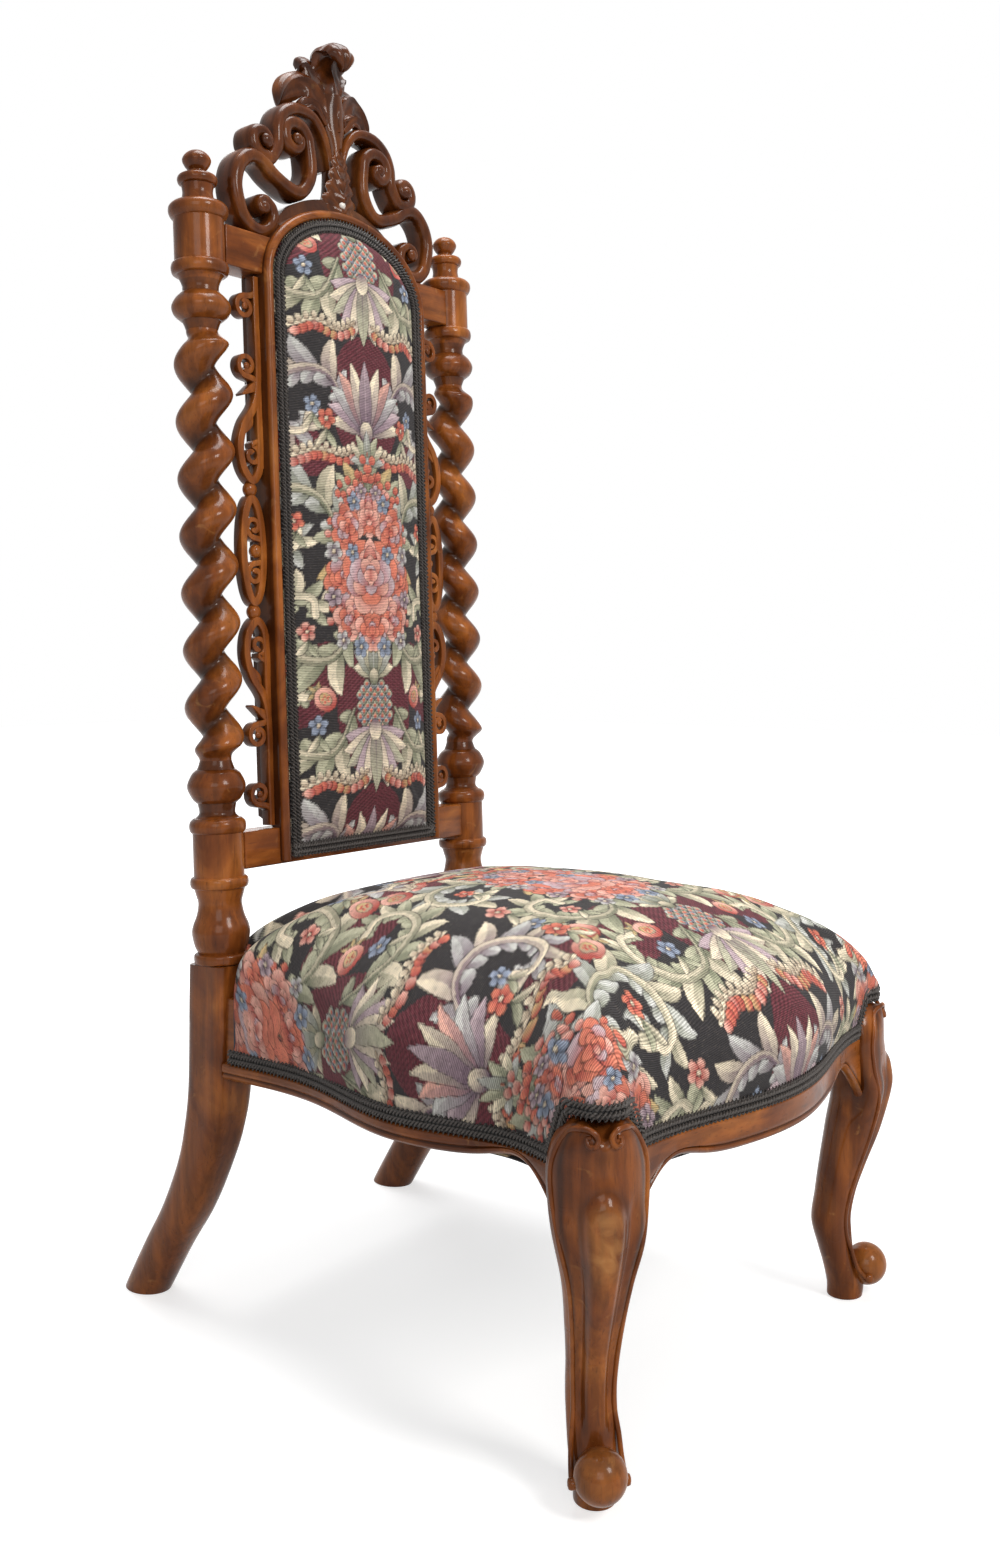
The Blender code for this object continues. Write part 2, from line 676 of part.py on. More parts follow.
def crest_volute(place, radii, start, sweep, count):
    return volute(crest_row(place)[0], [CREST_RIB * radius for radius in radii], start, sweep, count)


def crest_ribs():
    """Outlines on the right-hand half of the crest."""
    rib = CREST_RIB
    scroll = crest_volute((0.931, -0.098), (0.28, 0.60, 0.84, 1.56, 2.16), 0, 360, 10)
    scroll += smooth_path(crest_row((1.217, -0.006), (1.152, 0.110), (1.032, 0.172), (0.903, 0.163), (0.756, 0.101),
                                    (0.562, 0.058), (0.424, 0.080), (0.327, 0.202)), 2)
    scroll += crest_volute((0.516, 0.353), (1.44, 1.08, 0.68, 0.32), 192, -300, 8)
    upper = crest_volute((0.880, 0.278), (0.28, 0.60, 0.88, 1.04), 190, -290, 8)
    upper += smooth_path(crest_row((0.793, 0.212), (0.705, 0.301), (0.696, 0.399), (0.627, 0.482), (0.479, 0.534),
                                   (0.286, 0.528), (0.157, 0.448), (0.074, 0.325)), 2)
    leaf = smooth_path(crest_row((0.111, 0.644), (0.203, 0.706), (0.313, 0.736), (0.424, 0.706), (0.479, 0.632),
                                 (0.507, 0.577)), 2)
    curl = crest_volute((0.267, 0.627), (0.96, 0.96), 150, -250, 6)
    # Each rib is (outline, depth, how far it is set back).
    return [(ribbon(scroll, rib * 0.4, rib * 0.75, rib, rib * 1.1, rib, rib * 0.5), CREST_DEPTH, 0.0),
            (ribbon(upper, rib * 0.45, rib * 0.9, rib, rib * 0.9), CREST_DEPTH * 0.94, 0.0),
            (ribbon(leaf, rib * 1.1, rib * 1.3, rib * 0.3), CREST_DEPTH * 0.70, LEAF_SET_BACK),
            (ribbon(curl, rib * 0.5, rib * 0.5), CREST_DEPTH * 0.80, 0.0)]


def add_crest_ribs(crest, ribs):
    for outline, depth, set_back in ribs:
        for rib in (outline, mirrored(outline)):
            board = plate("crest_rib", [rib], set_back + depth / 2, set_back - depth / 2)
            boolean(crest, add_tool(board, BACK), "UNION")


def make_crest(top_rail):
    stem = crest_row((0.0, 1.0), (0.101, 0.975), (0.161, 0.890), (0.129, 0.767), (0.152, 0.656), (0.143, 0.534),
                     (0.083, 0.387), (0.111, 0.233), (0.138, 0.110), (0.258, -0.018))
    outline = stem + [(-x, z) for x, z in stem[:0:-1]]
    half = CREST_DEPTH * 0.89 / 2
    crest = add_part("crest", plate("crest", [outline], half, -half), WALNUT, BACK)
    saddle = arch(PANEL_HALF * 0.86, ARCH_RISE + 0.0125, 14) + arch(PANEL_HALF * 0.80, ARCH_RISE - 0.0100, 14)[::-1]
    half = CREST_DEPTH * 0.97 / 2
    boolean(crest, add_tool(plate("saddle", [saddle], half, -half), BACK), "UNION")
    ribs = crest_ribs()
    add_crest_ribs(crest, ribs[:2])
    level = WING_TOP + GAP
    under = WING_BOTTOM - BEAD_RADIUS
    bed = [(POST_X, level)] + crown_line(GAP) + [(-POST_X, level), (-POST_X, under), (POST_X, under)]
    bed_tool = plate("crest_bed", [bed], CREST_DEPTH, -CREST_DEPTH)
    boolean(crest, add_tool(bed_tool, BACK), "DIFFERENCE")
    radius, length, offset = CREST_DOWEL
    joint = WING_BOTTOM + ARCH_RISE * math.sqrt(1 - (offset / PANEL_HALF) ** 2)
    for side, name in ((-1, "crest_dowel_left"), (1, "crest_dowel_right")):
        x = side * offset
        ends = ((x, 0.0, joint - length / 2), (x, 0.0, joint + length / 2))
        add_part(name, rod(name, *ends, radius), BEECH, BACK)
        hole = bore("hole_" + name, (x, 0.0, joint - length / 2 - GAP), (x, 0.0, joint + length / 2 + GAP), radius)
        tool = add_tool(hole, BACK)
        boolean(crest, tool, "DIFFERENCE")
        boolean(top_rail, tool, "DIFFERENCE")
    add_crest_ribs(crest, ribs[2:])


# Panel upholstery

def panel_ring(half, depth, rise=0.0):
    """A loop of points at an even inset from the panel frame's edge, and a depth ahead of the post axis."""
    inset = PANEL_HALF - half
    crown = arch(half, ARCH_RISE - inset, 14)
    base = STILE_FOOT + inset - (PANEL_HALF - COVER_HALF) + 0.0030
    sides = [(-half, 0.75 * WING_BOTTOM + 0.25 * base), (-half, 0.5 * (WING_BOTTOM + base)),
             (-half, 0.25 * WING_BOTTOM + 0.75 * base)]
    foot = [(-half, base), (-half * 0.33, base), (half * 0.33, base), (half, base)]
    loop = crown + sides + foot + [(-x, z) for x, z in sides[::-1]]
    return [(x, -depth - rise, z) for x, z in loop]


def dome_rings(half, base, crown):
    """Rings from the pad's edge to its crowned middle."""
    steps = [(0.0, 0.0), (0.0030, 0.40), (0.0110, 0.68), (0.0280, 0.90), (0.0520, 1.0)]
    return [panel_ring(half - inset, base, crown * share) for inset, share in steps]


def make_panel_upholstery():
    back_face = -RAIL_BACK - GAP
    outside = [panel_ring(HESSIAN_HALF, back_face), panel_ring(HESSIAN_HALF, back_face - CLOTH)]
    add_part("outside_back_cloth", loft("outside_back_cloth", outside), LINING, BACK)
    face = TACK_FRONT + GAP
    hessian = [panel_ring(HESSIAN_HALF, face), panel_ring(HESSIAN_HALF, face + CLOTH)]
    add_part("back_hessian", loft("back_hessian", hessian), HESSIAN, BACK)
    pad_base = face + CLOTH + GAP
    pad = dome_rings(PAD_HALF, pad_base, PAD_CROWN)
    add_part("back_pad", loft("back_pad", pad), HESSIAN, BACK)
    inner = [panel_ring(COVER_HALF, pad_base), panel_ring(PAD_HALF + 2 * GAP, pad_base)]
    inner += dome_rings(PAD_HALF + 2 * GAP, pad_base + GAP, PAD_CROWN)[1:]
    outer = [panel_ring(COVER_HALF, pad_base + CLOTH)]
    outer += dome_rings(PAD_HALF + CLOTH + 2 * GAP, pad_base + CLOTH + GAP, PAD_CROWN)
    add_part("back_cover", loft("back_cover", inner[::-1] + outer), TAPESTRY, BACK)
    braid_base = pad_base + CLOTH + GAP
    braid_inner = PAD_HALF + CLOTH + 4 * GAP
    corners = ((COVER_HALF, braid_base), (braid_inner, braid_base), (braid_inner, braid_base + BRAID_DEPTH),
               (COVER_HALF, braid_base + BRAID_DEPTH))
    loops = [panel_ring(half, depth) for half, depth in corners]
    rings = [list(ring) for ring in zip(*loops)]
    add_part("back_braid", loft("back_braid", rings, cyclic=True), BRAID, BACK)


# Back legs

def super_ring(centre, half_out, half_in, half_side, power, count, place):
    """A rounded section: circle at power 2, squarer above and a diamond towards 1."""
    ring = []
    for i in range(count):
        angle = 2 * math.pi * i / count
        along = half_out if math.cos(angle) > 0 else half_in
        reach = (abs(math.cos(angle) / along) ** power + abs(math.sin(angle) / half_side) ** power) ** (-1 / power)
        ring.append(place(centre + reach * math.cos(angle), reach * math.sin(angle)))
    return ring


def make_back_leg(side, post):
    name = "back_leg_left" if side < 0 else "back_leg_right"
    half_x, half_y = BACK_LEG_HALF
    foot_x, foot_y = BACK_FOOT_HALF
    pivot = math.tan(RAKE) * (BACK_LEG_TOP - RAKE_PIVOT)
    sweep = BACK_FOOT_Y - pivot
    stations = [(1.0, pivot, half_x, half_y, 6.0), (0.90, pivot + 0.01 * sweep, half_x, half_y, 6.0),
                (0.66, pivot + 0.035 * sweep, half_x, half_y, 6.0), (0.535, pivot + 0.105 * sweep, half_x, half_y, 4.5),
                (0.43, pivot + 0.215 * sweep, half_x, half_y, 3.2),
                (0.287, pivot + 0.435 * sweep, foot_x + 0.0010, foot_y + 0.0005, 2.5),
                (0.155, pivot + 0.710 * sweep, foot_x + 0.0005, foot_y, 2.2),
                (0.0, BACK_FOOT_Y, foot_x, foot_y, 2.0)]
    rings = []
    for share, y, width, depth, power in stations:
        tilt = math.tan(RAKE) if share == 1.0 else 0.0
        height = BACK_LEG_TOP * share

        def place(along, across, y=y, tilt=tilt, height=height):
            return (side * POST_X + across, along, height - tilt * (along - y))

        rings.append(super_ring(y, depth, depth, width, power, 16, place))
    leg = add_part(name, loft(name, rings), WALNUT, CHAIR)
    radius, length = POST_SPIGOT
    socket = bore("socket_" + name, (side * POST_X, 0.0, POST_FOOT - length - GAP),
                  (side * POST_X, 0.0, POST_FOOT + radius), radius)
    boolean(leg, add_tool(socket, BACK), "DIFFERENCE")
    return leg


# Front legs

def leg_point(side, along, across, height):
    """A point of a front leg: outward along its diagonal, across it, and up."""
    turn = math.sqrt(0.5)
    return (side * (FRONT_LEG_X + turn * (along + across)), FRONT_LEG_Y - turn * (along - across), height)


def make_front_leg(side):
    name = "front_leg_left" if side < 0 else "front_leg_right"
    knee = KNEE_HALF
    inner = BLOCK_INNER
    ledge = KNEE_LEDGE
    # Height as a share of the rails' lower edge; centre and half widths as shares of the knee's half width.
    shank = [(0.0, -0.113, 0.437, 0.437, 0.408, 2.0), (0.055, -0.113, 0.465, 0.451, 0.437, 2.0),
             (0.139, -0.254, 0.423, 0.423, 0.493, 2.0), (0.208, -0.380, 0.423, 0.423, 0.507, 2.0),
             (0.319, -0.527, 0.451, 0.451, 0.513, 2.0), (0.434, -0.428, 0.465, 0.465, 0.521, 2.0),
             (0.552, -0.248, 0.544, 0.544, 0.577, 2.0), (0.711, 0.028, 0.662, 0.668, 0.690, 1.8),
             (0.882, 0.197, 0.718, 0.676, 0.944, 1.7)]
    stations = [(LIP_BOTTOM * row[0], *(knee * share for share in row[1:5]), row[5]) for row in shank]
    stations += [(LIP_BOTTOM - 0.0050, 0.0020, 0.0320, inner - 0.0040, knee - 0.0010, 1.5),
                 (LIP_TOP, 0.0, KNEE_REACH, inner, knee, KNEE_POWER),
                 (ledge - 0.0150, 0.0, 0.0320, inner, knee, KNEE_POWER),
                 (ledge - 0.0020, 0.0, 0.0270, inner, knee - 0.0040, KNEE_POWER),
                 (ledge, 0.0, BLOCK_OUTER, inner, BLOCK_OUTER, 1.5),
                 (RAIL_TOP - 0.0010, 0.0, BLOCK_OUTER, inner, BLOCK_OUTER, 1.5)]
    rings = []
    for height, centre, half_out, half_in, half_side, power in stations:

        def place(along, across, height=height):
            return leg_point(side, along, across, height)

        rings.append(super_ring(centre, half_out, half_in, half_side, power, 12, place))
    leg = add_part(name, loft(name, rings), WALNUT, CHAIR)
    bm = bmesh.new()
    centre = leg_point(side, TOE_CENTRE[0], 0.0, TOE_CENTRE[1])
    bmesh.ops.create_uvsphere(bm, u_segments=10, v_segments=6, radius=TOE_RADIUS, matrix=Matrix.Translation(centre))
    boolean(leg, add_tool(finish_mesh(bm, "toe_" + name), CHAIR), "UNION")
    return leg


def leg_clearance(side, top):
    """A prism round a front leg's block and knee, for what is scribed to it."""
    def ring(height):
        def place(along, across):
            return leg_point(side, along, across, height)
        return super_ring(0.0, KNEE_REACH + GAP, BLOCK_INNER + GAP, KNEE_HALF + GAP, KNEE_POWER, 12, place)
    return add_tool(loft("leg_clearance", [ring(LIP_BOTTOM - KNEE_HALF), ring(top)]), CHAIR)


# Seat frame

def front_edge(x):
    """The front rail's outer edge, bowed forwards in the middle."""
    end = FRONT_LEG_X - KNEE_SIDE
    return FRONT_LEG_Y - FRONT_SET - FRONT_BOW * (1 + math.cos(math.pi * min(abs(x) / end, 1.0))) / 2


def side_edge(y):
    """A side rail's outer edge: hollow at the back, full in the middle and hollow at the knee."""
    front = FRONT_LEG_Y + KNEE_SIDE
    share = min(max(y / front, 0.0), 1.0)
    straight = POST_X + SIDE_SET[0] + (FRONT_LEG_X + SIDE_SET[1] - POST_X - SIDE_SET[0]) * share
    return straight - SIDE_BOW * math.sin(3 * math.pi * share ** 1.36)


def front_stations():
    """Places along the front rail, from its middle to its right-hand end."""
    end = FRONT_LEG_X - KNEE_SIDE
    return [(end - KNEE_RAMP) * i / 4 for i in range(5)] + [end]


def side_stations():
    """Places along a side rail, from the back leg to the front one."""
    start = -BACK_LEG_HALF[1] - GAP + math.tan(RAKE) * (RAIL_TOP - RAKE_PIVOT)
    end = FRONT_LEG_Y + KNEE_SIDE
    return [start + (end + KNEE_RAMP - start) * i / 7 for i in range(8)] + [end]


def seat_outline():
    """The seat's outer edge in plan, as a closed loop that starts at the middle of the back."""
    half = [(0.0, SEAT_BACK_Y), (POST_X * 0.5, SEAT_BACK_Y), (POST_X - 0.010, SEAT_BACK_Y),
            (POST_X + 0.0185, SEAT_BACK_Y - 0.008)]
    for y in side_stations():
        half.append((side_edge(y), y))
    for dx, dy in ((0.0215, 0.0090), (0.0225, -0.0050), (0.0160, -0.0195), (0.0020, -0.0250), (-0.0120, -0.0210)):
        half.append((FRONT_LEG_X + dx, FRONT_LEG_Y + dy))
    for x in reversed(front_stations()):
        half.append((x, front_edge(x)))
    left = [(-x, y) for x, y in half[-2:0:-1]]
    return [Vector(point) for point in half + left]


def inset_loop(loop, distance):
    """The loop moved inwards by a distance, or outwards if that is negative."""
    middle = Vector((0.0, FRONT_LEG_Y / 2))
    moved_loop = []
    for i, point in enumerate(loop):
        along = (loop[(i + 1) % len(loop)] - loop[i - 1]).normalized()
        inward = Vector((-along.y, along.x))
        if inward.dot(middle - point) < 0:
            inward = -inward
        moved_loop.append(point + inward * distance)
    return moved_loop


def fabric_edge(point):
    """Height of the fabric's lower edge: just above the show wood, and up over the knees."""
    away = max(FRONT_LEG_X - KNEE_SIDE - abs(point.x), point.y - FRONT_LEG_Y - KNEE_SIDE)
    return LIP_TOP + GAP + KNEE_RISE * smoothstep(1 - away / KNEE_RAMP)


def rail_section(grow=0.0):
    """A seat rail's section as (inset from the outer edge, height)."""
    thick = RAIL_THICK + grow
    return [(0.0, LIP_BOTTOM + 0.0040), (0.0, LIP_TOP - 0.0030), (0.0030, LIP_TOP), (TACK_INSET, LIP_TOP),
            (TACK_INSET, RAIL_TOP), (thick, RAIL_TOP), (thick, RAIL_BOTTOM), (LIP_DEPTH, RAIL_BOTTOM),
            (LIP_DEPTH - 0.0010, LIP_BOTTOM), (0.0040, LIP_BOTTOM)]


def rail_mesh(name, path, grow=0.0):
    """A rail swept along its outer edge in plan."""
    middle = Vector((0.0, FRONT_LEG_Y / 2))
    rings = []
    for i, point in enumerate(path):
        along = (path[min(i + 1, len(path) - 1)] - path[max(i - 1, 0)]).normalized()
        inward = Vector((-along.y, along.x))
        if inward.dot(middle - point) < 0:
            inward = -inward
        rings.append([(*(point + inward * inset), height) for inset, height in rail_section(grow)])
    return loft(name, rings)


def front_path():
    half = front_stations()[1:] + [FRONT_LEG_X]
    row = [-x for x in reversed(half)] + [0.0] + half
    return [Vector((x, front_edge(x))) for x in row]


def side_path(side):
    return [Vector((side * side_edge(y), y)) for y in side_stations() + [FRONT_LEG_Y]]


def make_seat_rails(front_legs, back_legs):
    thick, high, length = SEAT_TENON
    middle = (RAIL_BOTTOM + RAIL_TOP) / 2 - SEAT_TENON_DROP
    low_z, high_z = middle - high / 2, middle + high / 2
    clearances = {side: leg_clearance(side, RAIL_TOP + KNEE_HALF) for side in (-1, 1)}
    front = add_part("seat_rail_front", rail_mesh("seat_rail_front", front_path()), WALNUT, CHAIR)
    rail_line = (TACK_INSET + RAIL_THICK) / 2
    for side in (-1, 1):
        boolean(front, clearances[side], "DIFFERENCE")
        y = front_edge(FRONT_LEG_X - BLOCK_INNER) + rail_line
        block_face = FRONT_LEG_X - BLOCK_FACE
        tenon(front, front_legs[side], (side * (block_face - TENON_ROOT), y - thick / 2, low_z),
              (side * (block_face + length), y + thick / 2, high_z), CHAIR)
    inner = POST_X - BACK_LEG_HALF[0] - GAP
    back = add_part("seat_rail_back", box("seat_rail_back", (-inner, SEAT_BACK_Y - RAIL_THICK, RAIL_BOTTOM),
                                          (inner, SEAT_BACK_Y - TACK_INSET, RAIL_TOP)), BEECH, CHAIR)
    for side in (-1, 1):
        y = SEAT_BACK_Y - rail_line + BACK_TENON_SHIFT
        tenon(back, back_legs[side], (side * (inner - TENON_ROOT), y - thick / 2, low_z),
              (side * (inner + length * 0.7), y + thick / 2, high_z), CHAIR)
        name = "seat_rail_left" if side < 0 else "seat_rail_right"
        rail = add_part(name, rail_mesh(name, side_path(side)), WALNUT, CHAIR)
        boolean(rail, clearances[side], "DIFFERENCE")
        x = POST_X + SIDE_SET[0] - rail_line
        leg_face = -BACK_LEG_HALF[1]
        tenon(rail, back_legs[side], (side * (x - thick / 2), leg_face - TENON_ROOT, low_z),
              (side * (x + thick / 2), leg_face + length, high_z), CHAIR)
        x = side_edge(FRONT_LEG_Y + BLOCK_INNER) - rail_line
        y = FRONT_LEG_Y + BLOCK_FACE
        tenon(rail, front_legs[side], (side * (x - thick / 2), y + TENON_ROOT, low_z),
              (side * (x + thick / 2), y - length * 0.6, high_z), CHAIR)
    return clearances


def make_corner(side, end, leg, clearance, legs_box):
    """A glued and screwed brace across an inner corner of the seat frame."""
    at_front = end == "front"
    name = "corner_block_" + end + ("_left" if side < 0 else "_right")
    bottom, top = CORNER_BLOCK
    if at_front:
        corner = (FRONT_LEG_X, FRONT_LEG_Y)
        outline = [(corner[0] - 0.085, corner[1] + 0.004), (corner[0] - 0.006, corner[1] + 0.004),
                   (corner[0] - 0.006, corner[1] + 0.085), (corner[0] - 0.040, corner[1] + 0.072),
                   (corner[0] - 0.072, corner[1] + 0.040)]
        inward = (-math.sqrt(0.5), math.sqrt(0.5))
    else:
        corner = (POST_X, 0.0)
        outline = [(corner[0] - 0.080, corner[1] - 0.006), (corner[0] + 0.010, corner[1] - 0.006),
                   (corner[0] + 0.010, corner[1] - 0.085), (corner[0] - 0.030, corner[1] - 0.080),
                   (corner[0] - 0.070, corner[1] - 0.040)]
        inward = (-math.sqrt(0.5), -math.sqrt(0.5))
    rings = [[(side * x, y, z) for x, y in outline] for z in (bottom, top)]
    block = add_part(name, loft(name, rings), BEECH, CHAIR)
    rails = [rail_mesh("rail_clearance", side_path(side), GAP)]
    if at_front:
        rails.append(rail_mesh("rail_clearance", front_path(), GAP))
        boolean(block, clearance, "DIFFERENCE")
    else:
        reach = POST_X
        rails.append(box("rail_clearance", (-reach, SEAT_BACK_Y - RAIL_THICK - GAP, RAIL_BOTTOM),
                         (reach, SEAT_BACK_Y, RAIL_TOP)))
        boolean(block, legs_box, "DIFFERENCE")
    for mesh in rails:
        boolean(block, add_tool(mesh, CHAIR), "DIFFERENCE")
    shank, head, head_height = SCREW
    middle = (bottom + top) / 2
    start = SCREW_START

    def along(distance):
        return (side * (corner[0] + inward[0] * distance), corner[1] + inward[1] * distance, middle)

    screw_name = name.replace("corner_block", "corner_screw")
    tip = start - SCREW_LENGTH
    profile = [(head_height, 0.0), (head_height, head), (0.0, head), (0.0, shank), (-SCREW_LENGTH + 0.006, shank),
               (-SCREW_LENGTH, 0.0)]
    mesh = turned(screw_name, profile, 8)
    turn = Vector((side * inward[0], inward[1], 0.0)).to_track_quat("Z", "Y").to_matrix().to_4x4()
    mesh.transform(Matrix.Translation(along(start)) @ turn)
    add_part(screw_name, mesh, STEEL, CHAIR)
    hole = add_tool(bore("hole_" + screw_name, along(tip - GAP), along(start + 0.02), shank, 8), CHAIR)
    recess = add_tool(bore("recess_" + screw_name, along(start - GAP), along(start + 0.03), head, 8), CHAIR)
    boolean(block, hole, "DIFFERENCE")
    boolean(block, recess, "DIFFERENCE")
    boolean(leg, hole, "DIFFERENCE")


# Seat suspension

def make_webbing(notches):
    top = RAIL_BOTTOM - GAP
    back = SEAT_BACK_Y - TACK_INSET - 0.004
    for number, x in enumerate(WEB_X, 1):
        front = max(front_edge(x - WEB_WIDTH / 2), front_edge(x + WEB_WIDTH / 2)) + LIP_DEPTH + 0.003
        name = "webbing_long_" + str(number)
        add_part(name, box(name, (x - WEB_WIDTH / 2, back, top - WEB_THICK), (x + WEB_WIDTH / 2, front, top)),
                 HESSIAN, CHAIR)
    top -= WEB_THICK + GAP
    for number, y in enumerate(WEB_Y, 1):
        reach = min(side_edge(y - WEB_WIDTH / 2), side_edge(y + WEB_WIDTH / 2)) - LIP_DEPTH - 0.003
        name = "webbing_cross_" + str(number)
        add_part(name, box(name, (-reach, y - WEB_WIDTH / 2, top - WEB_THICK), (reach, y + WEB_WIDTH / 2, top)),
                 HESSIAN, CHAIR)
    top -= WEB_THICK + GAP
    cloth = inset_loop(seat_outline(), LIP_DEPTH + 0.002)
    limit = SEAT_BACK_Y - TACK_INSET
    cloth = [Vector((p.x, min(p.y, limit))) for p in cloth]
    rings = [[(*point, height) for point in cloth] for height in (top - 0.0010, top)]
    cover = add_part("bottom_cloth", loft("bottom_cloth", rings), LINING, CHAIR)
    for side in (-1, 1):
        boolean(cover, add_tool(leg_prism(side, BLOCK_INNER), CHAIR), "DIFFERENCE")
        boolean(cover, notches[side][0], "DIFFERENCE")


def leg_prism(side, inner):
    def ring(height):
        def place(along, across):
            return leg_point(side, along, across, height)
        return super_ring(0.0, 0.06, inner + GAP, 0.06, 1.45, 14, place)
    return loft("leg_prism", [ring(LIP_BOTTOM - 0.03), ring(RAIL_TOP)])


def spring_points(x, y, bottom, top):
    """The wire's centre line: a coil that is drawn in at its waist."""
    count = round(SPRING_TURNS * SPRING_POINTS)
    points = []
    for i in range(count + 1):
        share = i / count
        radius = SPRING_WAIST + (SPRING_RADIUS - SPRING_WAIST) * abs(2 * share - 1)
        angle = 2 * math.pi * i / SPRING_POINTS
        points.append((x + radius * math.cos(angle), y + radius * math.sin(angle), bottom + (top - bottom) * share))
    return points


def least_gap(points, diameter):
    """The smallest clear distance between a wire's neighbouring turns."""
    rows = [Vector(point) for point in points]
    apart = SPRING_POINTS // 2
    return min((a - b).length for i, a in enumerate(rows) for b in rows[i + apart:]) - diameter


def make_springs():
    bottom = RAIL_BOTTOM + SPRING_WIRE
    top = RAIL_TOP - SPRING_WIRE
    places = [(WEB_X[0], WEB_Y[0]), (WEB_X[2], WEB_Y[0]), (WEB_X[1], WEB_Y[1]), (WEB_X[0], WEB_Y[2]),
              (WEB_X[2], WEB_Y[2])]
    for number, (x, y) in enumerate(places, 1):
        name = "seat_spring_" + str(number)
        points = spring_points(x, y, bottom, top)
        add_part(name, tube(name, points, SPRING_WIRE, 1), STEEL, CHAIR)
        print(name, "least gap to itself", round(1000 * least_gap(points, 2 * SPRING_WIRE), 2), "mm")


# Seat upholstery

def seat_shoulder(point):
    """Height at which the seat turns over its edge: higher at the back than at the knees."""
    share = smoothstep((point.y - FRONT_LEG_Y) / (SEAT_BACK_Y - FRONT_LEG_Y))
    return SHOULDER_FRONT + (SHOULDER_BACK - SHOULDER_FRONT) * share


def seat_dome(thin):
    """Rings of the seat's outside, from its lower edge to its crown, drawn in by a thickness."""
    loop = seat_outline()
    low = inset_loop(loop, COVER_INSET + thin)
    rings = [[(*point, fabric_edge(point)) for point in low]]
    for inset, height in ((COVER_INSET * 0.4, 0.30), (-COVER_OVERHANG, 0.66), (-COVER_OVERHANG * 0.6, 0.86),
                          (COVER_OVERHANG, 1.0)):
        ring = []
        for point, outer in zip(inset_loop(loop, inset + thin), loop):
            edge = fabric_edge(outer)
            ring.append((*point, edge + (seat_shoulder(outer) - thin * 0.5 - edge) * height))
        rings.append(ring)
    middle = Vector((0.0, FRONT_LEG_Y * 0.54))
    half_x = FRONT_LEG_X - thin
    half_y = (SEAT_BACK_Y - FRONT_LEG_Y + FRONT_BOW) / 2 - thin
    for scale, rise in ((0.93, 0.25), (0.82, 0.52), (0.66, 0.77), (0.45, 0.93), (0.20, 1.0)):
        ring = []
        for point in rings[4]:
            away = Vector((point[0], point[1])) - middle
            angle = math.atan2(away.y / half_y, away.x / half_x)
            oval = Vector((half_x * math.cos(angle), half_y * math.sin(angle)))
            flat = middle + away.lerp(oval, 1 - scale) * scale
            ring.append((*flat, point[2] + (SEAT_CROWN - thin - point[2]) * rise))
        rings.append(ring)
    return rings


def back_leg_clearances(side):
    half_x, half_y = BACK_LEG_HALF
    gap = NOTCH_GAP
    legs_box = box("leg_notch", (side * (POST_X - half_x - gap), -half_y - 0.006, 0.18),
                   (side * (POST_X + half_x + 0.03), half_y + 0.03, BACK_LEG_TOP + 0.004))
    post = rod("post_notch", (side * POST_X, 0.0, BACK_LEG_TOP - 0.01), (side * POST_X, 0.0, SEAT_CROWN + 0.05),
               0.0252 + gap, 16)
    return add_tool(legs_box, CHAIR), add_tool(post, BACK)


def make_seat_upholstery(notches, knees):
    canvas_loop = inset_loop(seat_outline(), TACK_INSET + 0.004)
    low = RAIL_TOP + GAP
    rings = [[(*point, height) for point in canvas_loop] for height in (low, low + CLOTH)]
    canvas = add_part("spring_canvas", loft("spring_canvas", rings), HESSIAN, CHAIR)
    base = low + CLOTH + GAP
    dome = seat_dome(SEAT_CLOTH + GAP)
    skirt = inset_loop(seat_outline(), TACK_INSET - GAP)
    # The stuffing rolls over the rails' upper edge, inside the fabric.
    under = [(*point, base) for point in skirt]
    hem = [(*point, max(base - 0.014, above[2] + 0.008)) for point, above in zip(skirt, dome[1])]
    stuffing = add_part("seat_stuffing", loft("seat_stuffing", [under, hem] + dome[2:], split=True), HESSIAN, CHAIR)
    shell = seat_dome(SEAT_CLOTH)[::-1] + seat_dome(0.0)
    cover = add_part("seat_cover", loft("seat_cover", shell, split=True), TAPESTRY, CHAIR)
    for side, tools in notches.items():
        boolean(cover, knees[side], "DIFFERENCE")
        for tool in tools:
            boolean(canvas, tool, "DIFFERENCE")
            boolean(stuffing, tool, "DIFFERENCE")
            boolean(cover, tool, "DIFFERENCE")


def make_seat_braid(knees):
    loop = seat_outline()
    front = len(loop) // 2
    start = 4
    path = list(range(start, 2 * front - start + 1))
    rings = []
    for i in path:
        outer = loop[i]
        edge = fabric_edge(outer)
        ring = []
        for inset, height in ((COVER_INSET - GAP, 0.0), (COVER_INSET - GAP - BRAID_DEPTH, 0.0),
                              (-BRAID_DEPTH - GAP, BRAID_WIDTH), (-GAP, BRAID_WIDTH)):
            point = inset_loop(loop, inset)[i]
            ring.append((*point, edge + height))
        rings.append(ring)
    braid = add_part("seat_braid", loft("seat_braid", rings), BRAID, CHAIR)
    for tool in knees.values():
        boolean(braid, tool, "DIFFERENCE")


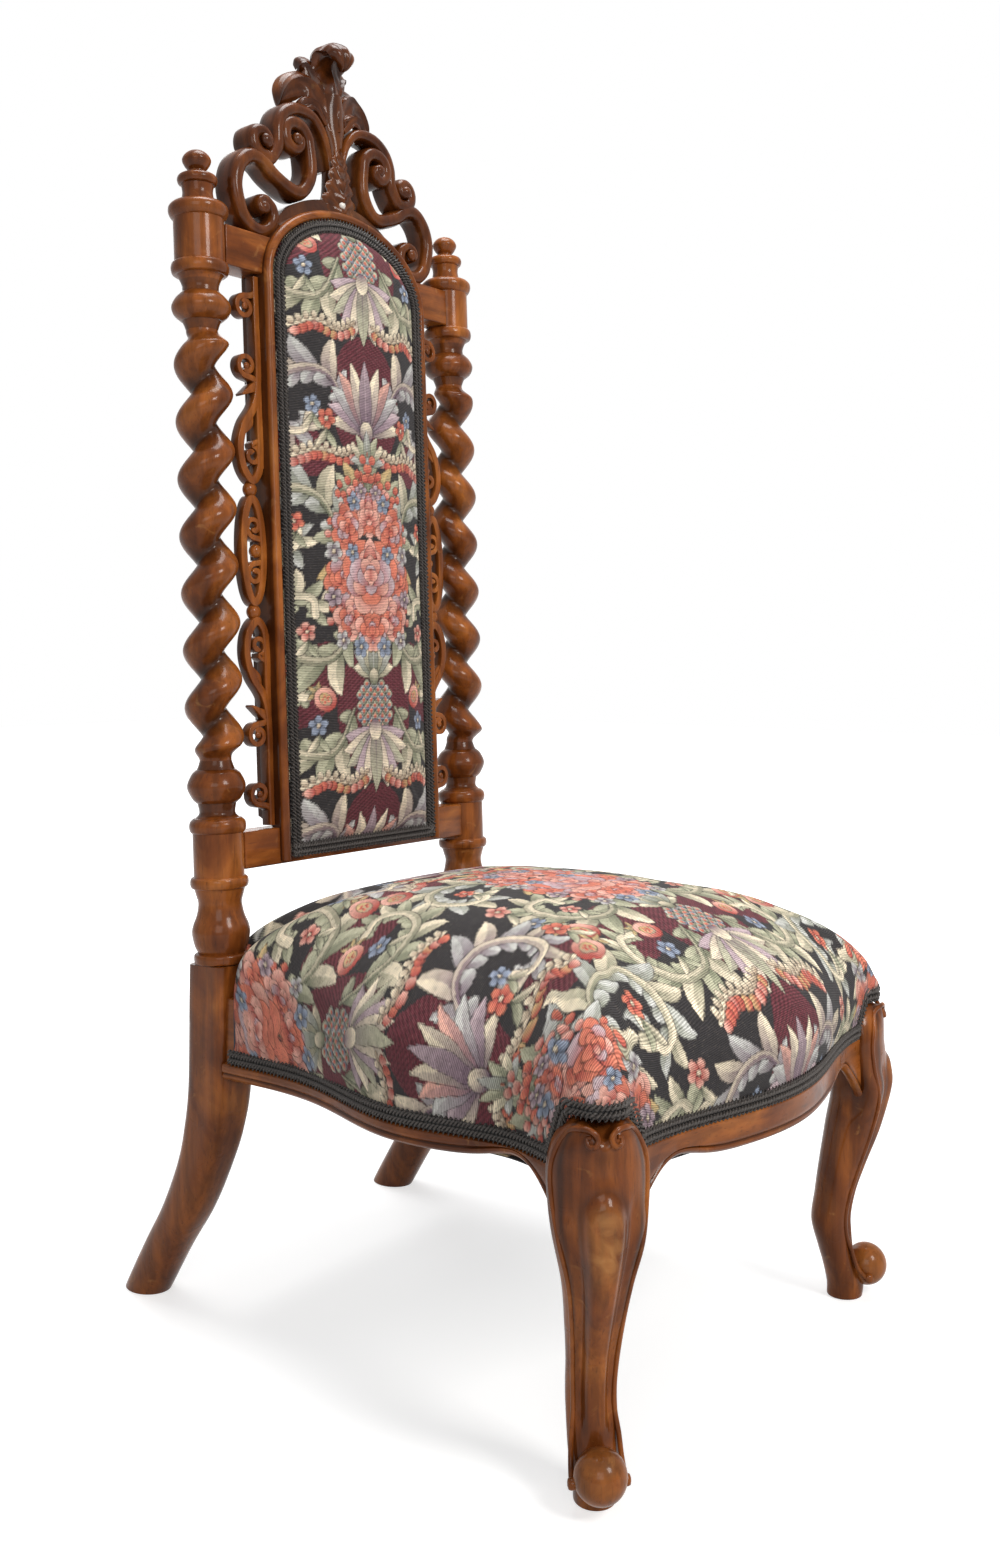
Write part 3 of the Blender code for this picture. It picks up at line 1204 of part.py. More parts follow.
clear_scene()
PARTS = new_collection("victorian_side_chair")
TOOLS = new_collection("cutters")
WALNUT = principled("walnut", (0.23, 0.085, 0.028), 0.28)
BEECH = principled("beech", (0.42, 0.27, 0.15), 0.6)
TAPESTRY = principled("tapestry", (0.16, 0.10, 0.085), 0.9)
BRAID = principled("braid", (0.012, 0.011, 0.012), 0.8)
HESSIAN = principled("hessian", (0.33, 0.24, 0.14), 0.95)
LINING = principled("lining", (0.03, 0.028, 0.028), 0.9)
STEEL = principled("steel", (0.35, 0.33, 0.30), 0.45, 1.0)

CHAIR = add_empty("chair", (0.0, ORIGIN_Y, 0.0))
BACK = add_empty("leaning_back", (0.0, -RAKE_PIVOT * math.sin(RAKE), RAKE_PIVOT * (1 - math.cos(RAKE))),
                 (-RAKE, 0.0, 0.0), CHAIR)


def main():
    posts = {side: make_post(side) for side in (-1, 1)}
    for side, post in posts.items():
        make_finial(side, post)
    top_rail = make_top_rail(posts)
    bottom_rail = make_bottom_rail(posts)
    for side in (-1, 1):
        make_stile(side, top_rail, bottom_rail)
        make_fret(side)
    make_crest(top_rail)
    add_facing(top_rail)
    make_panel_upholstery()
    back_legs = {side: make_back_leg(side, posts[side]) for side in (-1, 1)}
    front_legs = {side: make_front_leg(side) for side in (-1, 1)}
    clearances = make_seat_rails(front_legs, back_legs)
    notches = {side: back_leg_clearances(side) for side in (-1, 1)}
    for side in (-1, 1):
        make_corner(side, "front", front_legs[side], clearances[side], None)
        make_corner(side, "back", back_legs[side], None, notches[side][0])
    make_webbing(notches)
    make_springs()
    knees = {side: leg_clearance(side, KNEE_LEDGE + GAP) for side in (-1, 1)}
    make_seat_upholstery(notches, knees)
    make_seat_braid(knees)


main()
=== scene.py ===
import math
import random

import bmesh
import bpy
import numpy as np
from mathutils import Matrix, Vector


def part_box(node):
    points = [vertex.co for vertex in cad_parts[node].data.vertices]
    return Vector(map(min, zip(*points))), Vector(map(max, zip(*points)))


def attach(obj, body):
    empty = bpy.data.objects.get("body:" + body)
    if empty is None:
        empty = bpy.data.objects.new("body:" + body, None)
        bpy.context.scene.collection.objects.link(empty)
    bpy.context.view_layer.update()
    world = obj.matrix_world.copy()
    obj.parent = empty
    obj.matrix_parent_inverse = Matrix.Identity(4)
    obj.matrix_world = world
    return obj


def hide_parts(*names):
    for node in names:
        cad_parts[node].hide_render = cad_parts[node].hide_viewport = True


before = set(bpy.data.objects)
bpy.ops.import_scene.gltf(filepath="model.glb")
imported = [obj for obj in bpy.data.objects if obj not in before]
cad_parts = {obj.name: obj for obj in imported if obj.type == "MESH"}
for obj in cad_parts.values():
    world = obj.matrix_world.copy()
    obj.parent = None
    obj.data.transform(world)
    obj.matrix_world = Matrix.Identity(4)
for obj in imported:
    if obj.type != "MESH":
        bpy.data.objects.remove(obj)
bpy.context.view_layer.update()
scene = bpy.context.scene

# The chair faces -Y. Its back leans about a line at pivot height, above the back legs.
chair = {
    "shift": 0.1755,      # post axis behind the origin, at pivot height
    "pivot": 0.36,
    "rake": math.radians(2.25),
    "postX": 0.168,
}
leanBack = (Matrix.Translation((0.0, chair["shift"] - chair["pivot"] * math.sin(chair["rake"]),
                                chair["pivot"] * (1 - math.cos(chair["rake"]))))
            @ Matrix.Rotation(-chair["rake"], 4, "X"))
standUp = Matrix.Translation((0.0, chair["shift"], 0.0))
bothSides = ((-1, "Left", "_left"), (1, "Right", "_right"))  # sign of X, ends of the piece's and the node's name


# Camera and light

viewpoint = {
    "lens": 33.783, "sensor": 36.0, "shift": (-0.006102, -0.054722),
    "place": (-1.02954, -0.79312, 0.58154), "turn": (88.249, -0.042, -52.8367),
}


def setCamera():
    data = bpy.data.cameras.new("photoCamera")
    data.sensor_fit = "VERTICAL"
    data.sensor_height = data.sensor_width = viewpoint["sensor"]
    data.lens = viewpoint["lens"]
    data.shift_x, data.shift_y = viewpoint["shift"]
    camera = bpy.data.objects.new("photoCamera", data)
    camera.location = viewpoint["place"]
    camera.rotation_euler = [math.radians(turn) for turn in viewpoint["turn"]]
    scene.collection.objects.link(camera)
    scene.camera = camera


def addSoftbox(name, place, aim, size, power, tint):
    data = bpy.data.lights.new(name, "AREA")
    data.shape = "RECTANGLE"
    data.size, data.size_y = size
    data.energy = power
    data.color = tint
    lamp = bpy.data.objects.new(name, data)
    lamp.location = place
    lamp.rotation_euler = (Vector(aim) - Vector(place)).to_track_quat("-Z", "Y").to_euler()
    scene.collection.objects.link(lamp)


def showsBackground(tree):
    # 1 for the rays that show the background: straight, mirrored or through glass
    path = addNode(tree, "LightPath")
    shown = path.outputs["Is Camera Ray"]
    for kind in ("Is Glossy Ray", "Is Transmission Ray"):
        either = addNode(tree, "Math", operation="MAXIMUM")
        tree.links.new(shown, either.inputs[0])
        tree.links.new(path.outputs[kind], either.inputs[1])
        shown = either.outputs[0]
    return shown


studio = {
    # each lamp: place, aim, size, power, tint
    "lamps": {
        "windowSide": ((-0.25, -2.5, 2.2), (0.0, 0.0, 0.55), (0.8, 1.0), 60, (1.0, 0.98, 0.95)),
        "roomFill": ((-2.2, -1.5, 1.5), (0.0, 0.0, 0.5), (1.3, 1.3), 20, (1.0, 0.97, 0.93)),
        "overhead": ((0.2, 0.1, 2.9), (0.0, 0.0, 0.4), (1.2, 1.2), 58, (1.0, 1.0, 1.0)),
        "behind": ((1.6, 2.0, 1.6), (0.0, 0.0, 0.7), (1.2, 1.6), 12, (1.0, 1.0, 1.0)),
    },
    "ambient": (0.15, 0.15, 0.155), "white": (1.0, 1.0, 1.0),
    "floorHalf": 9.0, "floorDrop": 0.0006, "floorTone": (0.55, 0.55, 0.55), "floorRough": 0.9,
    # the floor's glow as background, by the distance from the chair
    "glowFrom": (0.55, 1.5), "glow": (0.66, 1.2),
}


def setLight():
    for name, (place, aim, size, power, tint) in studio["lamps"].items():
        addSoftbox(name, place, aim, size, power, tint)
    world = bpy.data.worlds.new("studio")
    world.use_nodes = True
    scene.world = world
    tree = world.node_tree
    sky = mixColour(tree, showsBackground(tree), studio["ambient"], studio["white"])
    tree.links.new(sky, tree.nodes["Background"].inputs["Color"])
    scene.view_settings.view_transform = "Standard"


def addFloor():
    bm = bmesh.new()
    bmesh.ops.create_grid(bm, x_segments=2, y_segments=2, size=studio["floorHalf"])
    mesh = bpy.data.meshes.new("studioFloor")
    bm.to_mesh(mesh)
    bm.free()
    floor = bpy.data.objects.new("studioFloor", mesh)
    floor.location.z = -studio["floorDrop"]
    scene.collection.objects.link(floor)
    material, tree, shader = newMaterial("paleFloor")
    shader.inputs["Base Color"].default_value = (*studio["floorTone"], 1.0)
    shader.inputs["Roughness"].default_value = studio["floorRough"]
    # lifted to white where it shows as background, fully so away from the chair's shadow
    reach = addNode(tree, "VectorMath", operation="LENGTH")
    tree.links.new(addNode(tree, "TexCoord").outputs["Object"], reach.inputs[0])
    lift = addNode(tree, "Math", operation="MULTIPLY")
    tree.links.new(showsBackground(tree), lift.inputs[0])
    tree.links.new(remap(tree, reach.outputs["Value"], *studio["glowFrom"], *studio["glow"]), lift.inputs[1])
    shader.inputs["Emission Color"].default_value = (*studio["white"], 1.0)
    tree.links.new(lift.outputs[0], shader.inputs["Emission Strength"])
    mesh.materials.append(material)


# Materials

def newMaterial(name):
    material = bpy.data.materials.new(name)
    material.use_nodes = True
    tree = material.node_tree
    return material, tree, tree.nodes["Principled BSDF"]


def addNode(tree, kind, **values):
    node = tree.nodes.new("ShaderNode" + kind)
    for key, value in values.items():
        if key in node.inputs:
            node.inputs[key].default_value = value
        else:
            setattr(node, key, value)
    return node


def addRamp(tree, source, stops):
    ramp = addNode(tree, "ValToRGB")
    bar = ramp.color_ramp
    while len(bar.elements) < len(stops):
        bar.elements.new(0.5)
    for element, (place, colour) in zip(bar.elements, stops):
        element.position = place
        element.color = (*colour, 1.0)
    tree.links.new(source, ramp.inputs["Fac"])
    return ramp.outputs["Color"]


def mixColour(tree, factor, first, second, blend="MIX"):
    mix = addNode(tree, "Mix", data_type="RGBA", blend_type=blend)
    sockets = [mix.inputs["Factor"], mix.inputs["A"], mix.inputs["B"]]
    for socket, value in zip(sockets, (factor, first, second)):
        if isinstance(value, bpy.types.NodeSocket):
            tree.links.new(value, socket)
        elif isinstance(value, tuple):
            socket.default_value = (*value, 1.0)
        else:
            socket.default_value = value
    return mix.outputs["Result"]


def remap(tree, source, low, high, newLow, newHigh):
    node = addNode(tree, "MapRange")
    tree.links.new(source, node.inputs["Value"])
    for key, value in zip(("From Min", "From Max", "To Min", "To Max"), (low, high, newLow, newHigh)):
        node.inputs[key].default_value = value
    return node.outputs["Result"]


def addNoise(tree, coords, scale, detail=4.0, distortion=0.0, stretch=(1.0, 1.0, 1.0)):
    mapping = addNode(tree, "Mapping", Scale=stretch)
    tree.links.new(coords, mapping.inputs["Vector"])
    noise = addNode(tree, "TexNoise", Scale=scale, Detail=detail, Distortion=distortion)
    tree.links.new(mapping.outputs["Vector"], noise.inputs["Vector"])
    return noise.outputs["Fac"]


def addBump(tree, shader, height, strength, distance):
    bump = addNode(tree, "Bump", Strength=strength, Distance=distance)
    tree.links.new(height, bump.inputs["Height"])
    tree.links.new(bump.outputs["Normal"], shader.inputs["Normal"])


def finishShader(tree, shader, base, roughness, plain={}):
    # plain values are set on the shader's own sockets
    tree.links.new(base, shader.inputs["Base Color"])
    tree.links.new(roughness, shader.inputs["Roughness"])
    for key, value in plain.items():
        shader.inputs[key].default_value = value


def polishedWalnut(name, grain, tone=1.0, redness=1.0):
    # grain is the stretch of the figure: small along the timber's length
    material, tree, shader = newMaterial(name)
    coords = addNode(tree, "TexCoord").outputs["Object"]
    mottle = addNoise(tree, coords, 24.0, 5.0, 0.9, tuple(0.55 + 0.45 * g for g in grain))
    stops = [(0.20, (0.062, 0.0145, 0.0032)), (0.42, (0.160, 0.0420, 0.0078)),
             (0.60, (0.280, 0.0830, 0.0150)), (0.80, (0.410, 0.1420, 0.0280))]
    stops = [(p, (r * tone * redness, g * tone, b * tone)) for p, (r, g, b) in stops]
    base = addRamp(tree, mottle, stops)
    lines = addNoise(tree, coords, 130.0, 3.0, 0.4, grain)
    base = mixColour(tree, 0.75, base, remap(tree, lines, 0.36, 0.64, 0.60, 1.15), "MULTIPLY")
    pores = addNoise(tree, coords, 620.0, 2.0, 0.0, grain)
    base = mixColour(tree, remap(tree, pores, 0.60, 0.72, 0.0, 0.40), base, (0.040, 0.012, 0.005))
    wear = addNoise(tree, coords, 55.0, 6.0, 1.2)
    worn = (0.50 * tone, 0.235 * tone, 0.072 * tone)
    base = mixColour(tree, remap(tree, wear, 0.64, 0.76, 0.0, 0.30), base, worn)
    # the layer read here is 1 where shade is painted deepest, in the carving, and -1 where hands and shoes have rubbed
    recess = addNode(tree, "Attribute", attribute_name="recess").outputs["Fac"]
    rubbed = addNode(tree, "Math", operation="MULTIPLY")
    tree.links.new(remap(tree, recess, -1.0, 0.0, 0.9, 0.0), rubbed.inputs[0])
    tree.links.new(remap(tree, wear, 0.36, 0.60, 0.15, 1.0), rubbed.inputs[1])
    base = mixColour(tree, rubbed.outputs[0], base, worn)
    # painted shade: the wood darkens towards this dark brown where the layer is positive
    base = mixColour(tree, remap(tree, recess, 0.0, 1.0, 0.0, 0.88), base, (0.018, 0.0060, 0.0028))
    finishShader(tree, shader, base, remap(tree, wear, 0.3, 0.75, 0.24, 0.42),
                 {"Coat Weight": 0.22, "Coat Roughness": 0.12, "Specular IOR Level": 0.06})
    addBump(tree, shader, lines, 0.10, 0.0008)
    return material


def plainTimber(name):
    material, tree, shader = newMaterial(name)
    coords = addNode(tree, "TexCoord").outputs["Object"]
    fleck = addNoise(tree, coords, 90.0, 4.0, 0.3, (1.0, 0.15, 1.0))
    base = addRamp(tree, fleck, [(0.3, (0.30, 0.17, 0.085)), (0.7, (0.47, 0.30, 0.16))])
    finishShader(tree, shader, base, remap(tree, fleck, 0.3, 0.7, 0.5, 0.7))
    addBump(tree, shader, fleck, 0.15, 0.001)
    return material


def darkIron(name):
    material, tree, shader = newMaterial(name)
    coords = addNode(tree, "TexCoord").outputs["Object"]
    spots = addNoise(tree, coords, 260.0, 5.0, 0.5)
    base = addRamp(tree, spots, [(0.35, (0.11, 0.10, 0.095)), (0.62, (0.26, 0.24, 0.22)), (0.8, (0.20, 0.10, 0.05))])
    finishShader(tree, shader, base, remap(tree, spots, 0.3, 0.8, 0.35, 0.65), {"Metallic": 0.9})
    return material


def paleNacre(name):
    material, tree, shader = newMaterial(name)
    coords = addNode(tree, "TexCoord").outputs["Object"]
    cloud = addNoise(tree, coords, 420.0, 3.0, 0.8)
    base = addRamp(tree, cloud, [(0.35, (0.62, 0.58, 0.52)), (0.65, (0.86, 0.84, 0.80))])
    finishShader(tree, shader, base, remap(tree, cloud, 0.3, 0.7, 0.12, 0.25))
    return material


def wovenCloth(name, dark, light, thread):
    # a plain weave: crossing threads as two wave textures
    material, tree, shader = newMaterial(name)
    coords = addNode(tree, "TexCoord").outputs["Object"]
    waves = []
    for direction in ("X", "Y"):
        wave = addNode(tree, "TexWave", Scale=0.5 / thread, Distortion=0.6, bands_direction=direction)
        tree.links.new(coords, wave.inputs["Vector"])
        waves.append(wave.outputs["Fac"])
    weave = mixColour(tree, 0.5, waves[0], waves[1])
    slub = addNoise(tree, coords, 300.0, 4.0, 0.0, (1.0, 0.2, 1.0))
    base = addRamp(tree, slub, [(0.3, dark), (0.7, light)])
    base = mixColour(tree, 0.5, base, weave, "MULTIPLY")
    finishShader(tree, shader, base, remap(tree, slub, 0.3, 0.7, 0.85, 0.98), {"Sheen Weight": 0.15})
    addBump(tree, shader, weave, 0.5, 0.0005)
    return material


def blackGimp(name):
    material, tree, shader = newMaterial(name)
    coords = addNode(tree, "TexCoord").outputs["Object"]
    fibre = addNoise(tree, coords, 1100.0, 3.0, 0.4)
    base = addRamp(tree, fibre, [(0.3, (0.016, 0.0130, 0.0115)), (0.75, (0.115, 0.098, 0.088))])
    recess = addNode(tree, "Attribute", attribute_name="recess").outputs["Fac"]
    # painted shade: near black where the layer is positive, under and between the cords
    base = mixColour(tree, recess, base, (0.0025, 0.0022, 0.0024))
    finishShader(tree, shader, base, remap(tree, fibre, 0.3, 0.7, 0.42, 0.66),
                 {"Sheen Weight": 0.06, "Specular IOR Level": 0.35})
    addBump(tree, shader, fibre, 0.5, 0.0004)
    return material


def floralTapestry(name):
    # The pictured threads come with the mesh: their colour, and the distance to the nearest dark outline.
    material, tree, shader = newMaterial(name)
    threads = addNode(tree, "Attribute", attribute_name="threads").outputs["Color"]
    outline = addNode(tree, "Attribute", attribute_name="outline").outputs["Fac"]
    weft = addNode(tree, "UVMap", uv_map="weave").outputs["UV"]
    ribs = addNode(tree, "TexWave", Scale=0.314 / 0.0015, Distortion=0.7, bands_direction="Y")
    ribs.inputs["Detail Scale"].default_value = 1.6
    tree.links.new(weft, ribs.inputs["Vector"])
    yarn = addNoise(tree, weft, 900.0, 2.0, 0.0, (0.30, 1.0, 1.0))
    nap = addNoise(tree, weft, 170.0, 4.0, 0.3, (0.6, 1.0, 1.0))
    line = remap(tree, outline, 0.0001, 0.0009, 0.78, 0.0)
    base = mixColour(tree, line, threads, (0.014, 0.011, 0.012))
    base = mixColour(tree, remap(tree, yarn, 0.56, 0.72, 0.0, 0.22), base, (0.200, 0.170, 0.145))
    base = mixColour(tree, remap(tree, yarn, 0.44, 0.30, 0.0, 0.50), base, (0.012, 0.010, 0.011))
    base = mixColour(tree, 0.85, base, remap(tree, ribs.outputs["Fac"], 0.0, 1.0, 0.62, 1.34), "MULTIPLY")
    base = mixColour(tree, 0.7, base, remap(tree, nap, 0.3, 0.7, 0.82, 1.32), "MULTIPLY")
    finishShader(tree, shader, base, remap(tree, yarn, 0.3, 0.7, 0.72, 0.92),
                 {"Sheen Weight": 0.05, "Sheen Roughness": 0.4, "Specular IOR Level": 0.22})
    addBump(tree, shader, ribs.outputs["Fac"], 0.6, 0.0006)
    return material


# Mesh helpers

def joinInto(bm, other):
    mesh = bpy.data.meshes.new("joining")
    other.to_mesh(mesh)
    other.free()
    bm.from_mesh(mesh)
    bpy.data.meshes.remove(mesh)
    return bm


def freshMesh():
    # this layer tells the finish where shade is painted on it and where the wood is rubbed
    bm = bmesh.new()
    bm.verts.layers.float.new("recess")
    return bm


def skin(rows, shade=None):
    # a grid laid over closed rows of points, with both ends filled
    count, along = len(rows[0]), len(rows) - 1
    bm = freshMesh()
    recess = bm.verts.layers.float["recess"]
    bmesh.ops.create_grid(bm, x_segments=count, y_segments=along, size=0.5)
    for vert in bm.verts:
        k = round((vert.co.x + 0.5) * count) % count
        j = round((vert.co.y + 0.5) * along)
        vert.co = rows[j][k]
        if shade:
            vert[recess] = shade[j][k]
    bmesh.ops.remove_doubles(bm, verts=bm.verts, dist=1e-6)
    bmesh.ops.holes_fill(bm, edges=[edge for edge in bm.edges if edge.is_boundary])
    bmesh.ops.recalc_face_normals(bm, faces=bm.faces)
    return bm


def addPiece(name, bm, material, place, nodes=(), sharp=35):
    bmesh.ops.transform(bm, matrix=place, verts=bm.verts)
    bmesh.ops.recalc_face_normals(bm, faces=bm.faces)
    mesh = bpy.data.meshes.new(name)
    bm.to_mesh(mesh)
    bm.free()
    mesh.materials.append(material)
    mesh.shade_smooth()
    mesh.set_sharp_from_angle(angle=math.radians(sharp))
    piece = bpy.data.objects.new(name, mesh)
    scene.collection.objects.link(piece)
    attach(piece, "root")
    if nodes:
        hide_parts(*nodes)
    return piece


def smoothRow(points, perSpan=6):
    # points on a Catmull-Rom curve through the given ones
    rows = [Vector(point) for point in points]
    rows = [2 * rows[0] - rows[1]] + rows + [2 * rows[-1] - rows[-2]]
    path = []
    for a, b, c, d in zip(rows, rows[1:], rows[2:], rows[3:]):
        for step in range(perSpan):
            t = step / perSpan
            path.append(0.5 * (2 * b + (c - a) * t + (2 * a - 5 * b + 4 * c - d) * t * t
                               + (3 * b - a - 3 * c + d) * t ** 3))
    path.append(rows[-2])
    return path


def smoothStep(value):
    value = min(max(value, 0.0), 1.0)
    return value * value * (3 - 2 * value)


def spread(values, share):
    # the value at a share of the way along a short row
    place = share * (len(values) - 1)
    k = min(int(place), len(values) - 2)
    return values[k] + (values[k + 1] - values[k]) * (place - k)


def hump(value, width):
    # 1 in the middle, falling off on both sides
    return math.exp(-(value / width) ** 2)


def heading(path, i):
    # direction of a path at one of its points
    return (path[min(i + 1, len(path) - 1)] - path[max(i - 1, 0)]).normalized()


def turnedOnLathe(runs, steps):
    # Each run of (height, radius) is a smooth curve, and runs meet in crisp corners.
    bm = freshMesh()
    profile = []
    for run in runs:
        curve = smoothRow(run) if len(run) > 2 else [Vector(point) for point in run]
        profile += [point for point in curve if not profile or (point - profile[-1]).length > 1e-6]
    row = [bm.verts.new((radius, 0.0, height)) for height, radius in profile]
    edges = [bm.edges.new(pair) for pair in zip(row, row[1:])]
    bmesh.ops.spin(bm, geom=row + edges, cent=(0, 0, 0), axis=(0, 0, 1), angle=2 * math.pi, steps=steps,
                   use_merge=True)
    bmesh.ops.remove_doubles(bm, verts=bm.verts, dist=1e-6)
    bmesh.ops.holes_fill(bm, edges=[edge for edge in bm.edges if edge.is_boundary])
    bmesh.ops.recalc_face_normals(bm, faces=bm.faces)
    return bm


# Back posts and finials

post = {
    "crest": 0.0250, "root": 0.0098, "swell": 1.5, "pitch": 0.0495, "phase": math.radians(138.3), "phaseAt": 0.8299,
    "twist": (0.4875, 0.8600), "runOut": 0.014, "rowStep": 0.0015, "steps": 64,
    "thin": 0.0172, "thinShade": 0.45,    # painted shade in the necks that are thinner than this
    # (height, radius) above and below the twist
    "above": [[(0.9710, 0.0), (0.9710, 0.0190)],
              [(0.9710, 0.0190), (0.9695, 0.0226), (0.9660, 0.0255), (0.9612, 0.0256), (0.9575, 0.0238),
               (0.9562, 0.0222)],
              [(0.9560, 0.0218), (0.9192, 0.0218)],
              [(0.9190, 0.0226), (0.9170, 0.0243), (0.9130, 0.0250), (0.9090, 0.0241), (0.9075, 0.0222)],
              [(0.9074, 0.0206), (0.9040, 0.0180), (0.8980, 0.0158), (0.8930, 0.0161)],
              [(0.8926, 0.0172), (0.8869, 0.0226), (0.8800, 0.0256), (0.8730, 0.0233), (0.8682, 0.0178)],
              [(0.8680, 0.0168), (0.8640, 0.0150), (0.8602, 0.0137)]],
    "below": [[(0.4873, 0.0137), (0.4830, 0.0150), (0.4797, 0.0164)],
              [(0.4795, 0.0172), (0.4750, 0.0215), (0.4650, 0.0252), (0.4550, 0.0213), (0.4507, 0.0175)],
              [(0.4505, 0.0166), (0.4420, 0.0155), (0.4377, 0.0188)],
              [(0.4375, 0.0206), (0.4345, 0.0236), (0.4305, 0.0245), (0.4265, 0.0238), (0.4247, 0.0224)],
              [(0.4245, 0.0218), (0.3867, 0.0218)],
              [(0.3865, 0.0230), (0.3848, 0.0247), (0.3810, 0.0252), (0.3778, 0.0243), (0.3768, 0.0228)],
              [(0.3766, 0.0220), (0.3705, 0.0203), (0.3635, 0.0188), (0.3531, 0.0206), (0.3450, 0.0238),
               (0.3380, 0.0250), (0.3280, 0.0232), (0.3210, 0.0202)],
              [(0.3208, 0.0210), (0.3194, 0.0234), (0.3160, 0.0239), (0.3126, 0.0234), (0.3118, 0.0220)],
              [(0.3118, 0.0220), (0.3118, 0.0)]],
}


def strand(angle, height, hand):
    # distance from the post's axis to the twisted strand, and how deep in the groove that is, which is painted as shade
    low, high = post["twist"]
    turn = hand * 2 * math.pi * (height - post["phaseAt"]) / post["pitch"]
    phase = post["phase"] if hand > 0 else math.pi - post["phase"]
    swell = abs(math.cos((angle - phase - turn) / 2)) ** post["swell"]
    radius = post["root"] + (post["crest"] - post["root"]) * swell
    neck = 1.4 * post["root"]
    run = smoothStep((high - height) / post["runOut"]) * smoothStep((height - low) / post["runOut"])
    return neck + (radius - neck) * run, (1 - swell) ** 2.2 * run


def makePosts(material):
    low, high = post["twist"]
    count = round((high - low) / post["rowStep"])
    twist = [(high - (high - low) * i / count, post["crest"]) for i in range(count + 1)]
    for side, hand, ending in bothSides:
        bm = turnedOnLathe(post["above"] + [[pair] for pair in twist] + post["below"], post["steps"])
        recess = bm.verts.layers.float["recess"]
        for vert in bm.verts:
            if low - 1e-5 <= vert.co.z <= high + 1e-5:
                angle = math.atan2(vert.co.y, vert.co.x)
                radius, vert[recess] = strand(angle, vert.co.z, -side)
                vert.co.x = radius * math.cos(angle)
                vert.co.y = radius * math.sin(angle)
            elif math.hypot(vert.co.x, vert.co.y) < post["thin"]:
                vert[recess] = post["thinShade"]
        bmesh.ops.translate(bm, vec=(side * chair["postX"], 0, 0), verts=bm.verts)
        addPiece("backPost" + hand, bm, material, leanBack, ["back_post" + ending])


finial = {
    "foot": 0.9713, "steps": 48,
    # (height above the foot, radius)
    "runs": [[(0.0450, 0.0), (0.0440, 0.0060), (0.0405, 0.0106), (0.0360, 0.0125), (0.0310, 0.0104), (0.0272, 0.0075)],
             [(0.0270, 0.0075), (0.0255, 0.0078), (0.0242, 0.0092)],
             [(0.0241, 0.0120), (0.0228, 0.0157), (0.0195, 0.0173), (0.0160, 0.0165), (0.0147, 0.0150)],
             [(0.0146, 0.0140), (0.0080, 0.0131), (0.0012, 0.0143)],
             [(0.0010, 0.0146), (0.0, 0.0146)], [(0.0, 0.0146), (0.0, 0.0)]],
}


def makeFinials(material):
    runs = [[(finial["foot"] + height, radius) for height, radius in run] for run in finial["runs"]]
    for side, hand, ending in bothSides:
        bm = turnedOnLathe(runs, finial["steps"])
        bmesh.ops.translate(bm, vec=(side * chair["postX"], 0, 0), verts=bm.verts)
        addPiece("finial" + hand, bm, material, leanBack, ["finial" + ending])


# Frame of the back panel

panel = {
    "half": 0.1085, "width": 0.0270, "rise": 0.0775, "spring": 0.9195, "wingTop": 0.9545, "foot": 0.3940,
    "front": 0.0145, "back": -0.0125, "lap": 0.004, "tack": 0.0175, "facing": 0.0165, "bead": 0.0046, "drum": 0.0223,
    "bottom": (0.3910, 0.4234),
}


def archPoint(angle, inset):
    return Vector(((panel["half"] - inset) * math.cos(angle),
                   panel["spring"] + (panel["rise"] - inset) * math.sin(angle)))


def frameSection(back):
    # (inset from the outer edge, depth): a round bead, a quirk, then the flat that the cloth is tacked to
    bead, tack, facing = panel["bead"], panel["tack"], panel["facing"]
    points = [(0.0, back), (0.0, tack - 0.0035)]
    for turn in range(0, 181, 15):
        angle = math.radians(turn)
        points.append((bead - bead * math.cos(angle), tack - 0.0015 + 1.25 * bead * math.sin(angle)))
    points += [(2 * bead + 0.0004, tack - 0.0030), (2 * bead + 0.0012, tack - 0.0028), (2 * bead + 0.0018, facing)]
    return points + [(panel["width"], facing), (panel["width"], back)]


def frameShade():
    # painted shade in the quirk and down the outer side
    quirk = 2 * panel["bead"]
    return [0.9 if abs(inset - quirk) < 0.0015 and depth < panel["facing"] else 0.8 if inset == 0.0 else 0.0
            for inset, depth in frameSection(panel["front"] - panel["lap"])]


def boardFrom(outline, back, front, ease):
    # a flat outline in X and Z, pushed out to a board with eased edges
    bm = freshMesh()
    face = bm.faces.new([bm.verts.new((x, -back, z)) for x, z in outline])
    pushed = bmesh.ops.extrude_face_region(bm, geom=[face])
    moved = [item for item in pushed["geom"] if isinstance(item, bmesh.types.BMVert)]
    bmesh.ops.translate(bm, vec=(0, back - front, 0), verts=moved)
    bmesh.ops.recalc_face_normals(bm, faces=bm.faces)
    rims = [edge for edge in bm.edges if edge.calc_face_angle(0) > math.radians(60)]
    bmesh.ops.bevel(bm, geom=rims, offset=ease, segments=3, profile=0.5, affect="EDGES", material=-1)
    return bm


